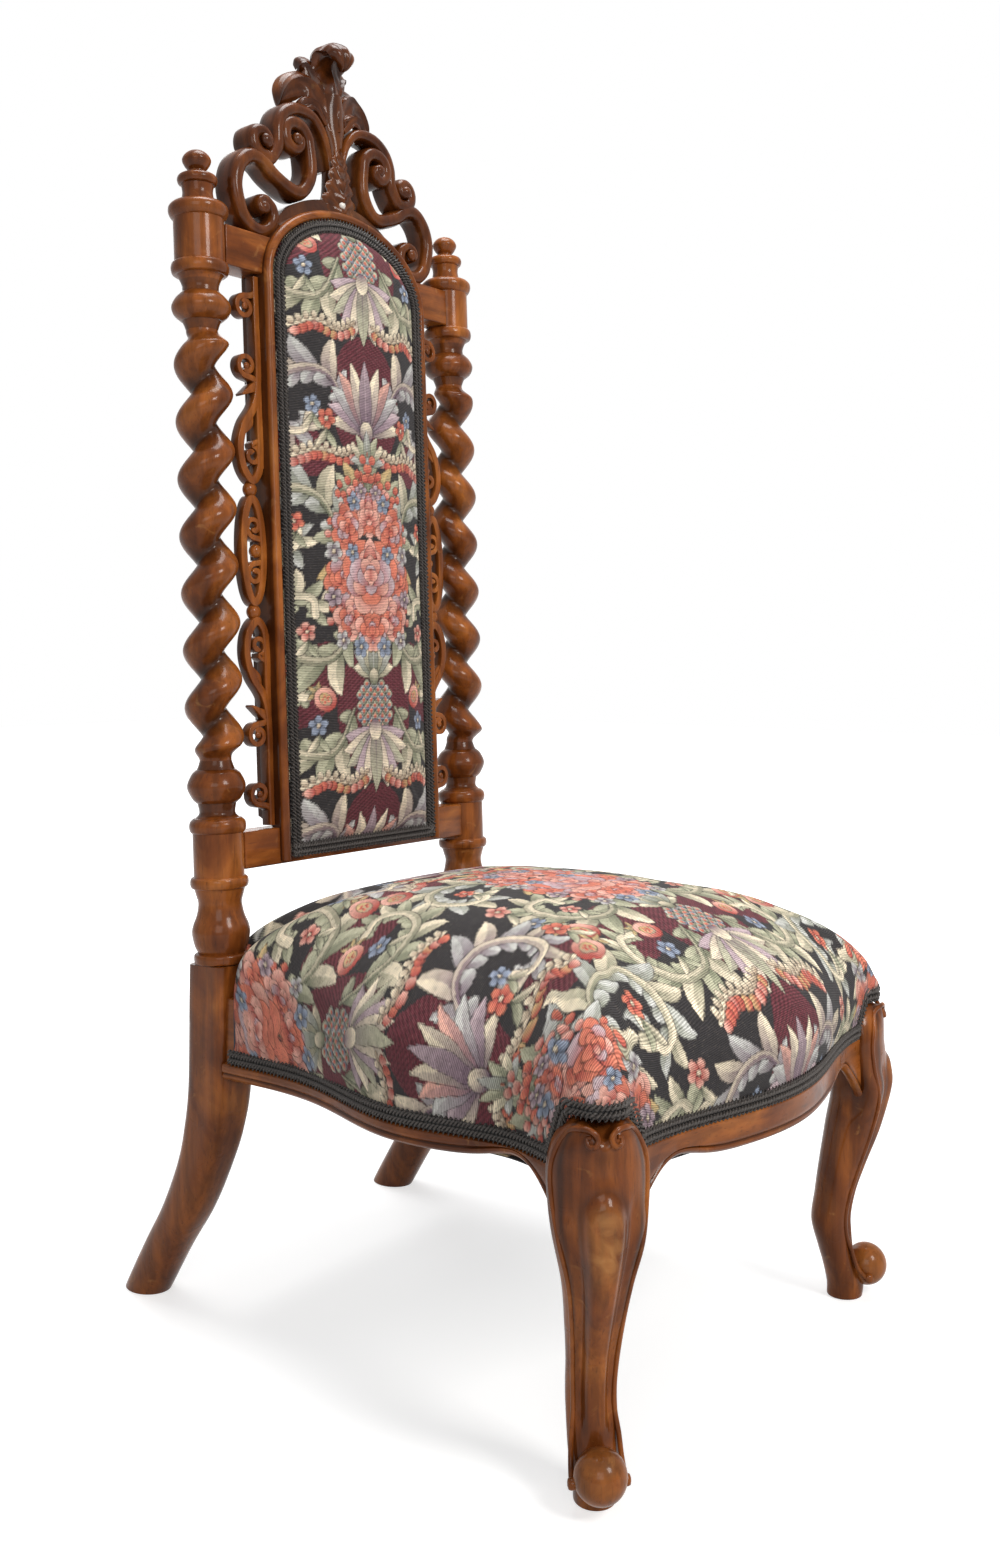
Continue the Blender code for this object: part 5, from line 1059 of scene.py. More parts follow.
def makeSeatRails(frontWood, sideWood):
    end = frontLeg["x"] - seat["railEnd"]
    path = [Vector((x, frontEdge(x))) for x in [end * (i / 60 - 1) for i in range(121)]]
    makeRail("seatRailFront", path, lambda p: frontLeg["x"] - seat["kneeSide"] - abs(p.x), frontWood,
             "seat_rail_front", seat["frontShow"])
    start, stop = -backLeg["half"][1] - 0.0005, frontLeg["y"] + seat["railEnd"]
    ys = [start + (stop - start) * i / 110 for i in range(111)]
    for side, hand, ending in bothSides:
        path = [Vector((side * sideEdge(y), y)) for y in ys]
        makeRail("seatRail" + hand, path, lambda p: p.y - frontLeg["y"] - seat["kneeSide"], sideWood,
                 "seat_rail" + ending)


# Tapestry picture: flowers, leaves and scrolls laid one over another on a black ground

dye = {
    "ground": (0.0250, 0.0225, 0.0235), "coral": (0.520, 0.165, 0.105), "rose": (0.600, 0.330, 0.265),
    "red": (0.300, 0.055, 0.045), "burgundy": (0.110, 0.026, 0.034), "plum": (0.120, 0.078, 0.105),
    "mauve": (0.400, 0.310, 0.330), "cream": (0.660, 0.575, 0.430), "sage": (0.390, 0.380, 0.270),
    "moss": (0.120, 0.130, 0.085), "ochre": (0.460, 0.330, 0.160), "blue": (0.250, 0.290, 0.370),
    "slate": (0.100, 0.120, 0.165), "mist": (0.450, 0.450, 0.425), "tan": (0.300, 0.225, 0.160),
}
repeat = {
    "half": 0.240, "tall": 0.420, "patch": 0.030,
    "sprays": ((0.0, 0.215, 1), (0.240, 0.005, -1)),  # where the spray is drawn, and its hand
    # wine-red patches lie lowest: place, turn, length, breadth
    "wine": [(0.0, 0.150, 1.57, 0.062, 0.046), (0.0, -0.140, 1.57, 0.066, 0.050), (0.085, 0.100, 0.2, 0.040, 0.024),
             (0.075, -0.115, 2.2, 0.045, 0.026)],
    # curling leaves: stem, size, dark and light dye
    "scrolls": [([(0.026, 0.140), (0.050, 0.172), (0.084, 0.172), (0.103, 0.146), (0.094, 0.120), (0.076, 0.118),
                  (0.070, 0.132)], 0.042, "plum", "mist"),
                ([(0.028, -0.138), (0.054, -0.176), (0.090, -0.176), (0.108, -0.150), (0.098, -0.126), (0.080, -0.126)],
                 0.042, "moss", "sage"),
                ([(0.028, -0.060), (0.052, -0.090), (0.084, -0.090), (0.102, -0.062), (0.092, -0.036), (0.072, -0.036),
                  (0.069, -0.051)], 0.044, "moss", "sage"),
                ([(0.040, 0.018), (0.060, 0.056), (0.094, 0.064), (0.114, 0.042), (0.107, 0.014), (0.088, 0.010),
                  (0.083, 0.025)], 0.044, "moss", "mist")],
    "ropes": [[(0.010, 0.108), (0.034, 0.098), (0.062, 0.102), (0.092, 0.092)],
              [(0.012, -0.196), (0.036, -0.206), (0.062, -0.200), (0.086, -0.208)]],
    "fruits": [(0.108, 0.090, 0.0145, 0.3), (0.112, -0.100, 0.0150, 1.2), (0.062, -0.128, 0.0120, 0.6)],
    "berries": [(0.0, 0.088, 0.0085, 7), (0.016, 0.072, 0.0080, 7), (0.034, 0.060, 0.0075, 6),
                (0.046, 0.030, 0.0070, 6), (0.046, -0.050, 0.0075, 7)],
    # full flowers: place, size, dye, petals; then the rounds of petals in each: place, length, breadth, how many fewer
    "blooms": [(0.0, 0.046, 0.024, "rose", 7), (0.030, 0.030, 0.021, "coral", 7), (0.036, -0.014, 0.023, "coral", 7),
               (0.028, -0.052, 0.022, "rose", 7), (0.0, -0.062, 0.022, "coral", 7), (0.0, -0.012, 0.036, "rose", 9)],
    "rounds": [(0.66, 0.40, 0.37, 0), (0.45, 0.33, 0.30, 1), (0.25, 0.27, 0.23, 3), (0.08, 0.18, 0.15, 5)],
    # small flowers among the full ones, then those on leaves of their own
    "posies": [(0.020, 0.056, 0.0095, "blue"), (0.048, 0.008, 0.0100, "mist"), (0.024, 0.008, 0.0090, "blue"),
               (0.050, -0.034, 0.0095, "mauve"), (0.016, -0.080, 0.0100, "blue"), (0.040, -0.074, 0.0090, "mist"),
               (0.010, 0.066, 0.0080, "mauve")],
    "sprigs": [(0.052, 0.130, 0.0100, "coral"), (0.066, 0.142, 0.0085, "blue"), (0.078, -0.066, 0.0090, "rose"),
               (0.086, 0.034, 0.0090, "coral"), (0.070, -0.152, 0.0095, "blue"), (0.112, -0.020, 0.0110, "rose"),
               (0.120, 0.128, 0.0110, "coral"), (0.118, -0.060, 0.0095, "blue")],
}


def weavePicture(across, up):
    # Colour of the threads at each point, and the distance to the nearest outline. The picture mirrors left and right.
    half, tall, patch = repeat["half"], repeat["tall"], repeat["patch"]
    p = np.abs((across + half) % (2 * half) - half)
    q = up % tall
    tone = np.tile(np.array(dye["ground"]), (len(p), 1))
    gap = np.full(len(p), 0.02)
    chance = random.Random(11)
    home = [0.0, 0.0, 1]
    # points are sorted in patches, so that each shape looks only at those near it
    wide, high = round(half / patch) + 1, round(tall / patch)
    key = (p / patch).astype(int) * high + (q / patch).astype(int) % high
    order = np.argsort(key, kind="stable")
    starts = np.searchsorted(key[order], np.arange(wide * high + 1))

    def near(x, y, reach):
        x, y = home[0] + home[2] * x, home[1] + y
        columns = range(max(0, int((x - reach) // patch)), min(wide - 1, int((x + reach) // patch)) + 1)
        lines = range(int((y - reach) // patch), int((y + reach) // patch) + 1)
        cells = [i * high + j % high for i in columns for j in lines]
        pick = np.concatenate([order[starts[cell]:starts[cell + 1]] for cell in cells] + [order[:0]])
        return pick, (p[pick] - x) * home[2], (q[pick] - y + tall / 2) % tall - tall / 2

    def lay(pick, distance, dark, light, shade, lined=True):
        inside = distance < 0
        rows = pick[inside]
        grade = np.clip(shade[inside], 0, 1)[:, None]
        tone[rows] = (np.array(dye[dark]) * (1 - grade) + np.array(dye[light]) * grade) * chance.uniform(1.10, 1.38)
        if lined:
            gap[rows] = -distance[inside]
            beyond = pick[~inside]
            gap[beyond] = np.minimum(gap[beyond], distance[~inside])

    def petal(x, y, turn, long, broad, dark, light, lined=True):
        # an oval, dark at its inner end and light at its outer one
        pick, dx, dy = near(x, y, long + 0.004)
        c, s = math.cos(turn), math.sin(turn)
        a, b = dx * c + dy * s, dy * c - dx * s
        first = np.hypot(a / long, b / broad) + 1e-9
        second = np.hypot(a / long ** 2, b / broad ** 2) + 1e-9
        lay(pick, first * (first - 1) / second, dark, light, 0.5 + 0.6 * a / long + 0.2 * b / broad, lined)

    def stroke(points, widths, dark, light, lined=True):
        # a band along a line, light at its far end and along one side
        rows = np.array(points)
        middle = (rows.min(0) + rows.max(0)) / 2
        pick, dx, dy = near(*middle, np.abs(rows - middle).max() + max(widths) + 0.004)
        best, shade = np.full(len(pick), 1.0), np.zeros(len(pick))
        for i, (start, stop) in enumerate(zip(rows - middle, rows[1:] - middle)):
            span = stop - start
            t = np.clip(((dx - start[0]) * span[0] + (dy - start[1]) * span[1]) / (span @ span + 1e-12), 0, 1)
            share = (i + t) / (len(rows) - 1)
            width = np.interp(share, np.linspace(0, 1, len(widths)), widths)
            away = np.hypot(dx - start[0] - span[0] * t, dy - start[1] - span[1] * t) - width
            side = np.sign((dy - start[1]) * span[0] - (dx - start[0]) * span[1])
            closer = away < best
            best = np.where(closer, away, best)
            shade = np.where(closer, 0.12 + 0.85 * share + 0.18 * side, shade)
        lay(pick, best, dark, light, shade, lined)

    def frond(x, y, turn, bend, long, broad, dark, light, lined=True):
        # a leaf that bends as it grows from its base
        points = [(x, y)]
        for k in range(6):
            angle = turn + bend * (k + 0.5) / 6
            points.append((points[-1][0] + math.cos(angle) * long / 6, points[-1][1] + math.sin(angle) * long / 6))
        stroke(points, [broad * share for share in (0.30, 0.80, 1.0, 0.95, 0.65, 0.10)], dark, light, lined)

    def fan(x, y, turn, long, broad, count, dark, lights, arc=1.4):
        # a palmette: leaves spread about one base, the longest in the middle
        for k in sorted(range(count), key=lambda k: -abs(k - (count - 1) / 2)):
            off = (k - (count - 1) / 2) / max(1, (count - 1) / 2)
            size = long * (1 - 0.28 * off * off)
            frond(x, y, turn + off * arc * 0.8, off * arc * 0.5, size, broad, dark, lights[k % len(lights)])
        petal(x, y, turn, broad * 1.2, broad, dark, lights[0])

    def acanthus(points, size, dark, light, count=11):
        # a curling stem that throws long lobes off its outer side and short ones inside
        path = smoothRow(points, 10)
        steps = [b - a for a, b in zip(path, path[1:])]
        hand = 1 if sum(a.x * b.y - a.y * b.x for a, b in zip(steps, steps[1:])) > 0 else -1
        for k in reversed(range(count)):
            share = (k + 0.4) / count
            i = int(share * len(steps))
            turn = math.atan2(steps[i].y, steps[i].x)
            long = size * (1.05 - 0.60 * share) * (0.75 if k == 0 else 1.0)
            spot = (path[i].x, path[i].y)
            frond(*spot, turn + hand * 0.50, hand * 0.8, long * 0.55, long * 0.19, dark, light)
            frond(*spot, turn - hand * 0.20, -hand * 1.05, long, long * 0.23, dark, "cream" if k % 2 else light)
        widths = [size * share for share in (0.04, 0.09, 0.10, 0.08, 0.09)]
        stroke([tuple(point) for point in path[::2]], widths, dark, "cream")

    def bloom(x, y, size, light, petals):
        # a full flower: rounds of uneven petals about a heart
        for place, long, broad, fewer in repeat["rounds"]:
            count = max(2, petals - fewer)
            turn = chance.uniform(0, 3)
            for k in range(count):
                angle = turn + 2 * math.pi * (k + chance.uniform(-0.2, 0.2)) / count
                reach = size * place * chance.uniform(0.88, 1.08)
                grow = size * chance.uniform(0.88, 1.12)
                petal(x + reach * math.cos(angle), y + reach * math.sin(angle), angle + chance.uniform(-0.6, 0.6),
                      long * grow, broad * grow, "red", chance.choice((light, light, "rose", "coral", "mauve")))

    def posy(x, y, size, dark, light, petals=5):
        turn = chance.uniform(0, 2)
        for k in range(petals):
            angle = turn + 2 * math.pi * k / petals
            petal(x + size * 0.55 * math.cos(angle), y + size * 0.55 * math.sin(angle), angle, size * 0.48, size * 0.40,
                  dark, light)
        petal(x, y, 0.8, size * 0.22, size * 0.22, "tan", "cream")

    def berries(x, y, size, count):
        for k in range(count):
            angle, reach = 2.4 * k + x * 50, size * (0.15 + 0.62 * k ** 0.5)
            petal(x + reach * math.cos(angle), y + reach * math.sin(angle), 0.8, size * 0.56, size * 0.52, "red",
                  chance.choice(("coral", "rose", "coral")))

    def fruit(x, y, size, turn):
        # a round fruit, open on its pale seeded middle
        for lean in (-0.7, 0.0, 0.7):
            frond(x + size * 0.7 * math.cos(turn), y + size * 0.7 * math.sin(turn), turn + lean, lean, size, size * 0.2,
                  "moss", "ochre")
        petal(x, y, turn, size, size * 0.92, "red", "rose")
        petal(x, y, turn, size * 0.58, size * 0.46, "tan", "ochre")
        for k in range(5):
            angle = 1.26 * k
            petal(x + size * 0.24 * math.cos(angle), y + size * 0.22 * math.sin(angle), angle, size * 0.13, size * 0.10,
                  "red", "coral", False)

    def rope(points, size):
        # a pale scalloped band with fruit hanging along one side
        path = smoothRow(points, 14)
        run = 0.0
        stroke([tuple(point) for point in path[::2]], (size * 0.5, size * 0.5), "tan", "cream")
        for a, b in zip(path, path[1:]):
            run += (b - a).length
            if run > size * 1.5:
                run = 0.0
                turn = math.atan2(b.y - a.y, b.x - a.x)
                across, up = size * math.sin(turn), size * math.cos(turn)
                petal(b.x - 0.9 * across, b.y + 0.9 * up, turn + 1.57, size * 0.95, size * 0.72, "tan", "cream")
                petal(b.x + 1.5 * across, b.y - 1.5 * up, turn, size * 1.25, size * 1.05, "red",
                      chance.choice(("coral", "rose", "ochre")))

    def trellis(x, y, size):
        for k in range(-3, 4):
            for j in range(-3, 4):
                if abs(k) + abs(j) < 5:
                    spot = (x + (k - j) * size * 0.9, y + (k + j) * size * 0.9)
                    dark, light = ("moss", "mist") if (k + j) % 2 else ("slate", "sage")
                    petal(*spot, 0.785, size * 0.78, size * 0.78, dark, light)
                    petal(*spot, 0.785, size * 0.34, size * 0.34, "red", "coral", False)

    for home[:] in repeat["sprays"]:
        for x, y, turn, long, broad in repeat["wine"]:
            petal(x, y, turn, long, broad, "burgundy", "burgundy", False)
    wine = tone[:, 0] > 0.05  # hatched threads
    tone[wine] *= (0.76 + 0.24 * np.sign(np.sin((p * 0.7 + q) * 2 * math.pi / 0.0044)))[wine, None]
    for home[:] in repeat["sprays"]:
        for points, size, dark, light in repeat["scrolls"]:
            acanthus(points, size, dark, light)
        fan(0.0, 0.122, 1.57, 0.066, 0.0088, 11, "plum", ("cream", "mauve", "mist", "rose"))
        trellis(0.0, -0.135, 0.0056)
        fan(0.0, -0.158, -1.57, 0.058, 0.0084, 11, "plum", ("cream", "mauve", "sage"))
        fan(0.0, -0.108, 1.57, 0.040, 0.0066, 7, "moss", ("cream", "mist"), 1.2)
        for points in repeat["ropes"]:
            rope(points, 0.0042)
        for x, y, size, turn in repeat["fruits"]:
            fruit(x, y, size, turn)
        for k in range(18):  # leaves about the heaped flowers
            angle = 2 * math.pi * (k + 0.5) / 18
            frond(0.034 * math.cos(angle), 0.008 + 0.058 * math.sin(angle), angle + chance.uniform(-0.3, 0.3),
                  chance.uniform(-0.8, 0.8), 0.036, 0.0078, "moss", chance.choice(("sage", "cream", "mist", "ochre")))
        fan(0.0, 0.092, 1.57, 0.032, 0.0050, 7, "moss", ("mist", "cream", "sage"))
        for x, y, size, count in repeat["berries"]:
            berries(x, y, size, count)
        for x, y, size, light, petals in repeat["blooms"]:
            bloom(x, y, size, light, petals)
        for x, y, size, light in repeat["posies"]:
            posy(x, y, size, "slate" if light == "blue" else "plum", light)
        for x, y, size, light in repeat["sprigs"]:
            posy(x, y, size, "slate" if light == "blue" else "red", light)
            frond(x, y - size, -1.9, -0.6, size * 2.0, size * 0.36, "moss", "sage")
            frond(x, y - size, -1.2, 0.6, size * 2.0, size * 0.36, "moss", "cream")
    return tone, gap


def dressInTapestry(mesh):
    uv = np.zeros(2 * len(mesh.loops))
    mesh.uv_layers["weave"].data.foreach_get("uv", uv)
    corner = np.zeros(len(mesh.loops), dtype=np.int32)
    mesh.loops.foreach_get("vertex_index", corner)
    flat = np.zeros((len(mesh.vertices), 2))
    flat[corner] = uv.reshape(-1, 2)
    tone, gap = weavePicture(flat[:, 0], flat[:, 1])
    threads = mesh.attributes.new("threads", "FLOAT_COLOR", "POINT")
    threads.data.foreach_set("color", np.column_stack((tone, np.ones(len(tone)))).ravel())
    outline = mesh.attributes.new("outline", "FLOAT", "POINT")
    outline.data.foreach_set("value", gap)


# Soft covers

def gridOver(acrossCount, upCount, place):
    # a grid whose points and flat weave coordinates come from place(i, j)
    bm = bmesh.new()
    bmesh.ops.create_grid(bm, x_segments=acrossCount, y_segments=upCount, size=0.5)
    weave = bm.loops.layers.uv.new("weave")
    flat = {}
    for vert in bm.verts:
        i, j = round((vert.co.x + 0.5) * acrossCount), round((vert.co.y + 0.5) * upCount)
        vert.co, flat[vert.index] = place(i, j)
    for face in bm.faces:
        for loop in face.loops:
            loop[weave].uv = flat[loop.vert.index]
    return bm


settling = {
    "frames": 20, "quality": 6, "mass": 0.4, "tension": 18, "compression": 12, "shear": 8, "bending": 1.2,
}


def settleCloth(name, bm, pinned, pressure, cap):
    # The cover is pulled over its filling: pressure from inside, edge held, then a cap on each point's travel.
    mesh = bpy.data.meshes.new(name)
    bm.to_mesh(mesh)
    bm.free()
    cover = bpy.data.objects.new(name + "Settling", mesh)
    scene.collection.objects.link(cover)
    group = cover.vertex_groups.new(name="held")
    group.add(pinned, 1.0, "REPLACE")
    cloth = cover.modifiers.new("pull", "CLOTH")
    cloth.settings.quality = settling["quality"]
    cloth.settings.mass = settling["mass"]
    cloth.settings.tension_stiffness = settling["tension"]
    cloth.settings.compression_stiffness = settling["compression"]
    cloth.settings.shear_stiffness = settling["shear"]
    cloth.settings.bending_stiffness = settling["bending"]
    cloth.settings.vertex_group_mass = "held"
    cloth.settings.use_pressure = True
    cloth.settings.uniform_pressure_force = pressure
    cloth.settings.effector_weights.gravity = 0.0
    cloth.collision_settings.use_collision = False
    cloth.point_cache.frame_start = 1
    cloth.point_cache.frame_end = settling["frames"]
    for step in range(1, settling["frames"] + 1):
        scene.frame_set(step)
    settled = cover.evaluated_get(bpy.context.evaluated_depsgraph_get()).to_mesh()
    start = np.zeros(3 * len(mesh.vertices))
    end = np.zeros(3 * len(mesh.vertices))
    mesh.vertices.foreach_get("co", start)
    settled.vertices.foreach_get("co", end)
    move = (end - start).reshape(-1, 3)
    travel = np.linalg.norm(move, axis=1)[:, None] + 1e-9
    print(name, "cloth travel up to", round(float(travel.max()) * 1000, 1), "mm")
    move *= np.minimum(travel, cap) / travel
    mesh.vertices.foreach_set("co", start + move.ravel())
    scene.frame_set(1)
    bpy.data.objects.remove(cover)
    return mesh


def finerMesh(name, mesh, levels):
    holder = bpy.data.objects.new(name + "Finer", mesh)
    scene.collection.objects.link(holder)
    finer = holder.modifiers.new("finer", "SUBSURF")
    finer.levels = finer.render_levels = levels
    made = bpy.data.meshes.new_from_object(holder.evaluated_get(bpy.context.evaluated_depsgraph_get()))
    bpy.data.objects.remove(holder)
    return made


def runAlong(rows):
    # length of a path up to each of its rows
    return np.concatenate(([0.0], np.cumsum(np.linalg.norm(np.diff(rows, axis=0), axis=1))))


def resample(points, count):
    # the same path in equal steps
    rows = np.array([tuple(point) for point in points])
    steps = runAlong(rows)
    places = np.linspace(0.0, steps[-1], count + 1)
    return np.column_stack([np.interp(places, steps, rows[:, k]) for k in range(rows.shape[1])])


def pushRim(bm, rim):
    # extrudes an open edge, and gives the new points and the new open edge
    made = bmesh.ops.extrude_edge_only(bm, edges=rim)["geom"]
    verts = [item for item in made if isinstance(item, bmesh.types.BMVert)]
    return verts, [item for item in made if isinstance(item, bmesh.types.BMEdge) and item.is_boundary]


def closeRim(bm, rim):
    bmesh.ops.holes_fill(bm, edges=rim)
    bmesh.ops.triangulate(bm, faces=[face for face in bm.faces if len(face.verts) > 4])


seatCover = {
    "cells": 100, "middle": (0.0, -0.226), "oval": (0.188, 0.206),
    "notch": (0.1464, -0.0285), "postClear": 0.0268, "postFrom": (0.296, 0.012),  # where the cover keeps off the posts
    # the outline round a knee, from the leg's axis: before it, then beside it
    "kneeFront": [(-0.012, -0.021), (0.002, -0.025), (0.0115, -0.0225), (0.0170, -0.0185)],
    "kneeBeside": [(0.0170, -0.0185), (0.0222, -0.0120), (0.0225, -0.005), (0.0215, 0.009)],
    # (inset, share of the height from hem to shoulder), then (scale, share of the rise from shoulder to crown)
    "wall": [(0.0032, 0.0), (0.0016, 0.28), (-0.0030, 0.55), (-0.0036, 0.75), (-0.0008, 0.91), (0.0060, 1.0)],
    "top": [(0.93, 0.22), (0.82, 0.50), (0.66, 0.76), (0.45, 0.93), (0.20, 0.99), (0.0, 1.0)],
    # rounds of smoothing, over all and at the knees; the height above the hem that stays firm
    "ease": (6, 18), "kneeReach": 0.085, "firm": 0.014,
    "weaveUp": 0.455, "pressure": 4.0, "travel": 0.005,
}


def seatSides(count):
    # the seat's outline as the four sides of a square, from left to right or from front to back
    x, y = frontLeg["x"], frontLeg["y"]
    end = x - seat["kneeSide"]
    front = [(end * i / 40, frontEdge(end * i / 40)) for i in range(41)]
    front += [(x + out, y + ahead) for out, ahead in seatCover["kneeFront"]]
    notchX, notchY = seatCover["notch"]
    stop = y + seat["kneeSide"]
    ys = [stop + (notchY - stop) * i / 60 for i in range(61)]
    right = [(x + out, y + ahead) for out, ahead in seatCover["kneeBeside"]]
    right += [(sideEdge(v), v) for v in ys] + [(notchX, notchY)]
    back = [(0.0, seat["backY"]), (notchX, seat["backY"]), (notchX, notchY)]
    sides = {}
    for key, halfSide in (("front", front), ("back", back)):
        sides[key] = resample([(-a, b) for a, b in reversed(halfSide)] + halfSide[1:], count)
    sides["right"] = resample(right, count)
    sides["left"] = sides["right"] * np.array((-1.0, 1.0))
    return sides


def hemHeight(x, y):
    end, stop = frontLeg["x"] - seat["kneeSide"], frontLeg["y"] + seat["kneeSide"]
    away = max(end - abs(x), y - stop)
    knee = seat["kneeRise"] * smoothStep((seat["kneeLead"] - away) / seat["kneeRamp"])
    front = seat["frontShow"] * smoothStep((frontLeg["y"] + seat["showFrom"] - y) / seat["showRamp"])
    return seat["lipTop"] + seat["hemGap"] + max(knee, front)


def outwardAlong(points, middle, reach=3):
    # a softened outward direction at each point of a row
    rows = []
    for i, point in enumerate(points):
        ahead, behind = points[min(i + reach, len(points) - 1)], points[max(i - reach, 0)]
        out = Vector((ahead[1] - behind[1], behind[0] - ahead[0])).normalized()
        rows.append(-out if out.dot(Vector(middle) - Vector(point)) > 0 else out)
    return rows


def clearOfPost(x, y, z):
    gapX, gapY = abs(x) - chair["postX"], y
    distance = math.hypot(gapX, gapY)
    low, ramp = seatCover["postFrom"]
    need = seatCover["postClear"] * smoothStep((z - low) / ramp)
    if distance >= need or y > 0.0 or distance < 1e-6:
        return x, y
    return math.copysign(chair["postX"] + gapX * need / distance, x), gapY * need / distance


def seatProfile(point, out, soft, count):
    # hem to crown at one place of the outline: points, and the weave's flat coordinates
    x, y = point
    middle = Vector(seatCover["middle"])
    fall = (soft * 0.55 + (Vector(point) - middle).normalized() * 0.45).normalized()
    hem = hemHeight(x, y)
    back = smoothStep((y - frontLeg["y"]) / (seat["backY"] - frontLeg["y"]))
    shoulder = seat["shoulder"][0] + (seat["shoulder"][1] - seat["shoulder"][0]) * back
    rows = []
    for inset, share in seatCover["wall"]:
        z = hem + (shoulder - hem) * share
        rows.append(Vector((*clearOfPost(x - out.x * inset, y - out.y * inset, z), z)))
    wide, deep = seatCover["oval"]
    turn = math.atan2((y - middle.y) / deep, x / wide)
    for scale, rise in seatCover["top"]:
        straight = middle + (Vector(point) - middle) * scale
        ring = middle + Vector((wide * math.cos(turn), deep * math.sin(turn))) * scale
        place = ring + (straight - ring) * smoothStep((scale - 0.25) / 0.65)
        z = shoulder + (seat["crown"] - shoulder) * rise
        rows.append(Vector((*clearOfPost(place.x, place.y, z), z)))
    path = resample(smoothRow(rows, 8), count)
    steps = runAlong(path)
    wall = np.linalg.norm(np.array(rows[len(seatCover["wall"]) - 1]) - np.array(rows[0])) * 1.06
    bend = int(np.searchsorted(steps, wall))
    flat = path[:, :2].copy()
    for k in range(bend):
        drop = steps[bend] - steps[k]
        flat[k] = path[bend, :2] + np.array((fall.x, fall.y)) * drop
    return path[::-1], flat[::-1]


def sideOfSquare(a, b):
    # the side that a point of a square grid lies towards, how far along it, and the point's ring about the middle
    ring = max(abs(a), abs(b))
    if ring == 0:
        return "front", 0.5, ring
    if abs(b) >= abs(a):
        return ("front" if b < 0 else "back"), (a + ring) / (2 * ring), ring
    return ("left" if a < 0 else "right"), (b + ring) / (2 * ring), ring


def makeSeatCover(material):
    cells = seatCover["cells"]
    half = cells // 2
    profiles = {}
    for key, points in seatSides(cells).items():
        outs, softer = outwardAlong(points, seatCover["middle"]), outwardAlong(points, seatCover["middle"], 12)
        profiles[key] = [seatProfile(point, out, soft, half) for point, out, soft in zip(points, outs, softer)]

    def place(i, j):
        key, share, ring = sideOfSquare(i - half, j - half)
        k = min(int(share * cells), cells - 1)
        t = share * cells - k
        (first, flatFirst), (second, flatSecond) = profiles[key][k], profiles[key][k + 1]
        spot = first[ring] * (1 - t) + second[ring] * t
        flat = flatFirst[ring] * (1 - t) + flatSecond[ring] * t
        return Vector(spot), (flat[0], flat[1] + seatCover["weaveUp"])

    bm = gridOver(cells, cells, place)
    loose = [v for v in bm.verts if v.co.z > hemHeight(v.co.x, v.co.y) + seatCover["firm"]]
    kneeX, kneeY, reach = frontLeg["x"], frontLeg["y"], seatCover["kneeReach"]
    atKnee = [v for v in loose if math.hypot(abs(v.co.x) - kneeX, v.co.y - kneeY) < reach]
    easeAll, easeKnee = seatCover["ease"]
    for verts in [loose] * easeAll + [atKnee] * easeKnee:
        bmesh.ops.smooth_vert(bm, verts=verts, factor=0.5, use_axis_x=True, use_axis_y=True, use_axis_z=True)
    bm.verts.ensure_lookup_table()
    held = [v.index for v in bm.verts if v.is_boundary or any(e.other_vert(v).is_boundary for e in v.link_edges)]
    mesh = settleCloth("seatCover", bm, held, seatCover["pressure"], seatCover["travel"])
    bm = bmesh.new()
    bm.from_mesh(finerMesh("seatCover", mesh, 2))
    # turned under at the hem, up the rails' face, over their tops and across beneath the filling
    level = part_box("spring_canvas")[0].z
    top = seat["railTop"] + 0.0006
    middle = Vector(seatCover["middle"])
    rim = [edge for edge in bm.edges if edge.is_boundary]
    for inward, height in ((0.0018, None), (0.0, top), (0.0242, top), (0.004, level)):
        verts, rim = pushRim(bm, rim)
        for vert in verts:
            vert.co.xy += (middle - vert.co.xy).normalized() * inward
            if height == top:
                vert.co.z = max(vert.co.z, top)
            elif height:
                vert.co.z = height
    closeRim(bm, rim)
    replaced = ["seat_cover", "seat_stuffing", "spring_canvas"]
    piece = addPiece("seatCover", bm, material, standUp, replaced, 80)
    dressInTapestry(piece.data)


backCover = {
    "half": 0.0990, "base": 0.3970, "rise": 0.0680, "face": 0.0178, "cloth": 0.0015, "crown": 0.0128,
    "flange": 0.0120, "swell": 0.052, "cells": (78, 178, 36), "corner": 220, "weaveUp": -0.450,
    "pressure": 3.0, "travel": 0.003,
}


def archedGrid(i, j, across, straight, arched, half, base, rise):
    # a square grid pulled to an arch-topped panel
    u = 2 * i / across - 1
    if j <= straight:
        return half * u, base + (panel["spring"] - base) * j / straight
    v = (j - straight) / arched
    return half * u * math.sqrt(1 - v * v / 2), panel["spring"] + rise * v * math.sqrt(1 - u * u / 2)


def edgeDistance(x, z):
    # distance to the panel's edge, softened in its lower corners
    half, rise, sharp = backCover["half"], backCover["rise"], backCover["corner"]
    side = half - abs(x)
    if z > panel["spring"]:
        up = (z - panel["spring"]) / rise
        side = (1 - math.hypot(x / half, up)) * (half + (rise - half) * smoothStep(up))
    foot = z - backCover["base"]
    return max(0.0, -math.log(math.exp(-sharp * side) + math.exp(-sharp * foot)) / sharp)


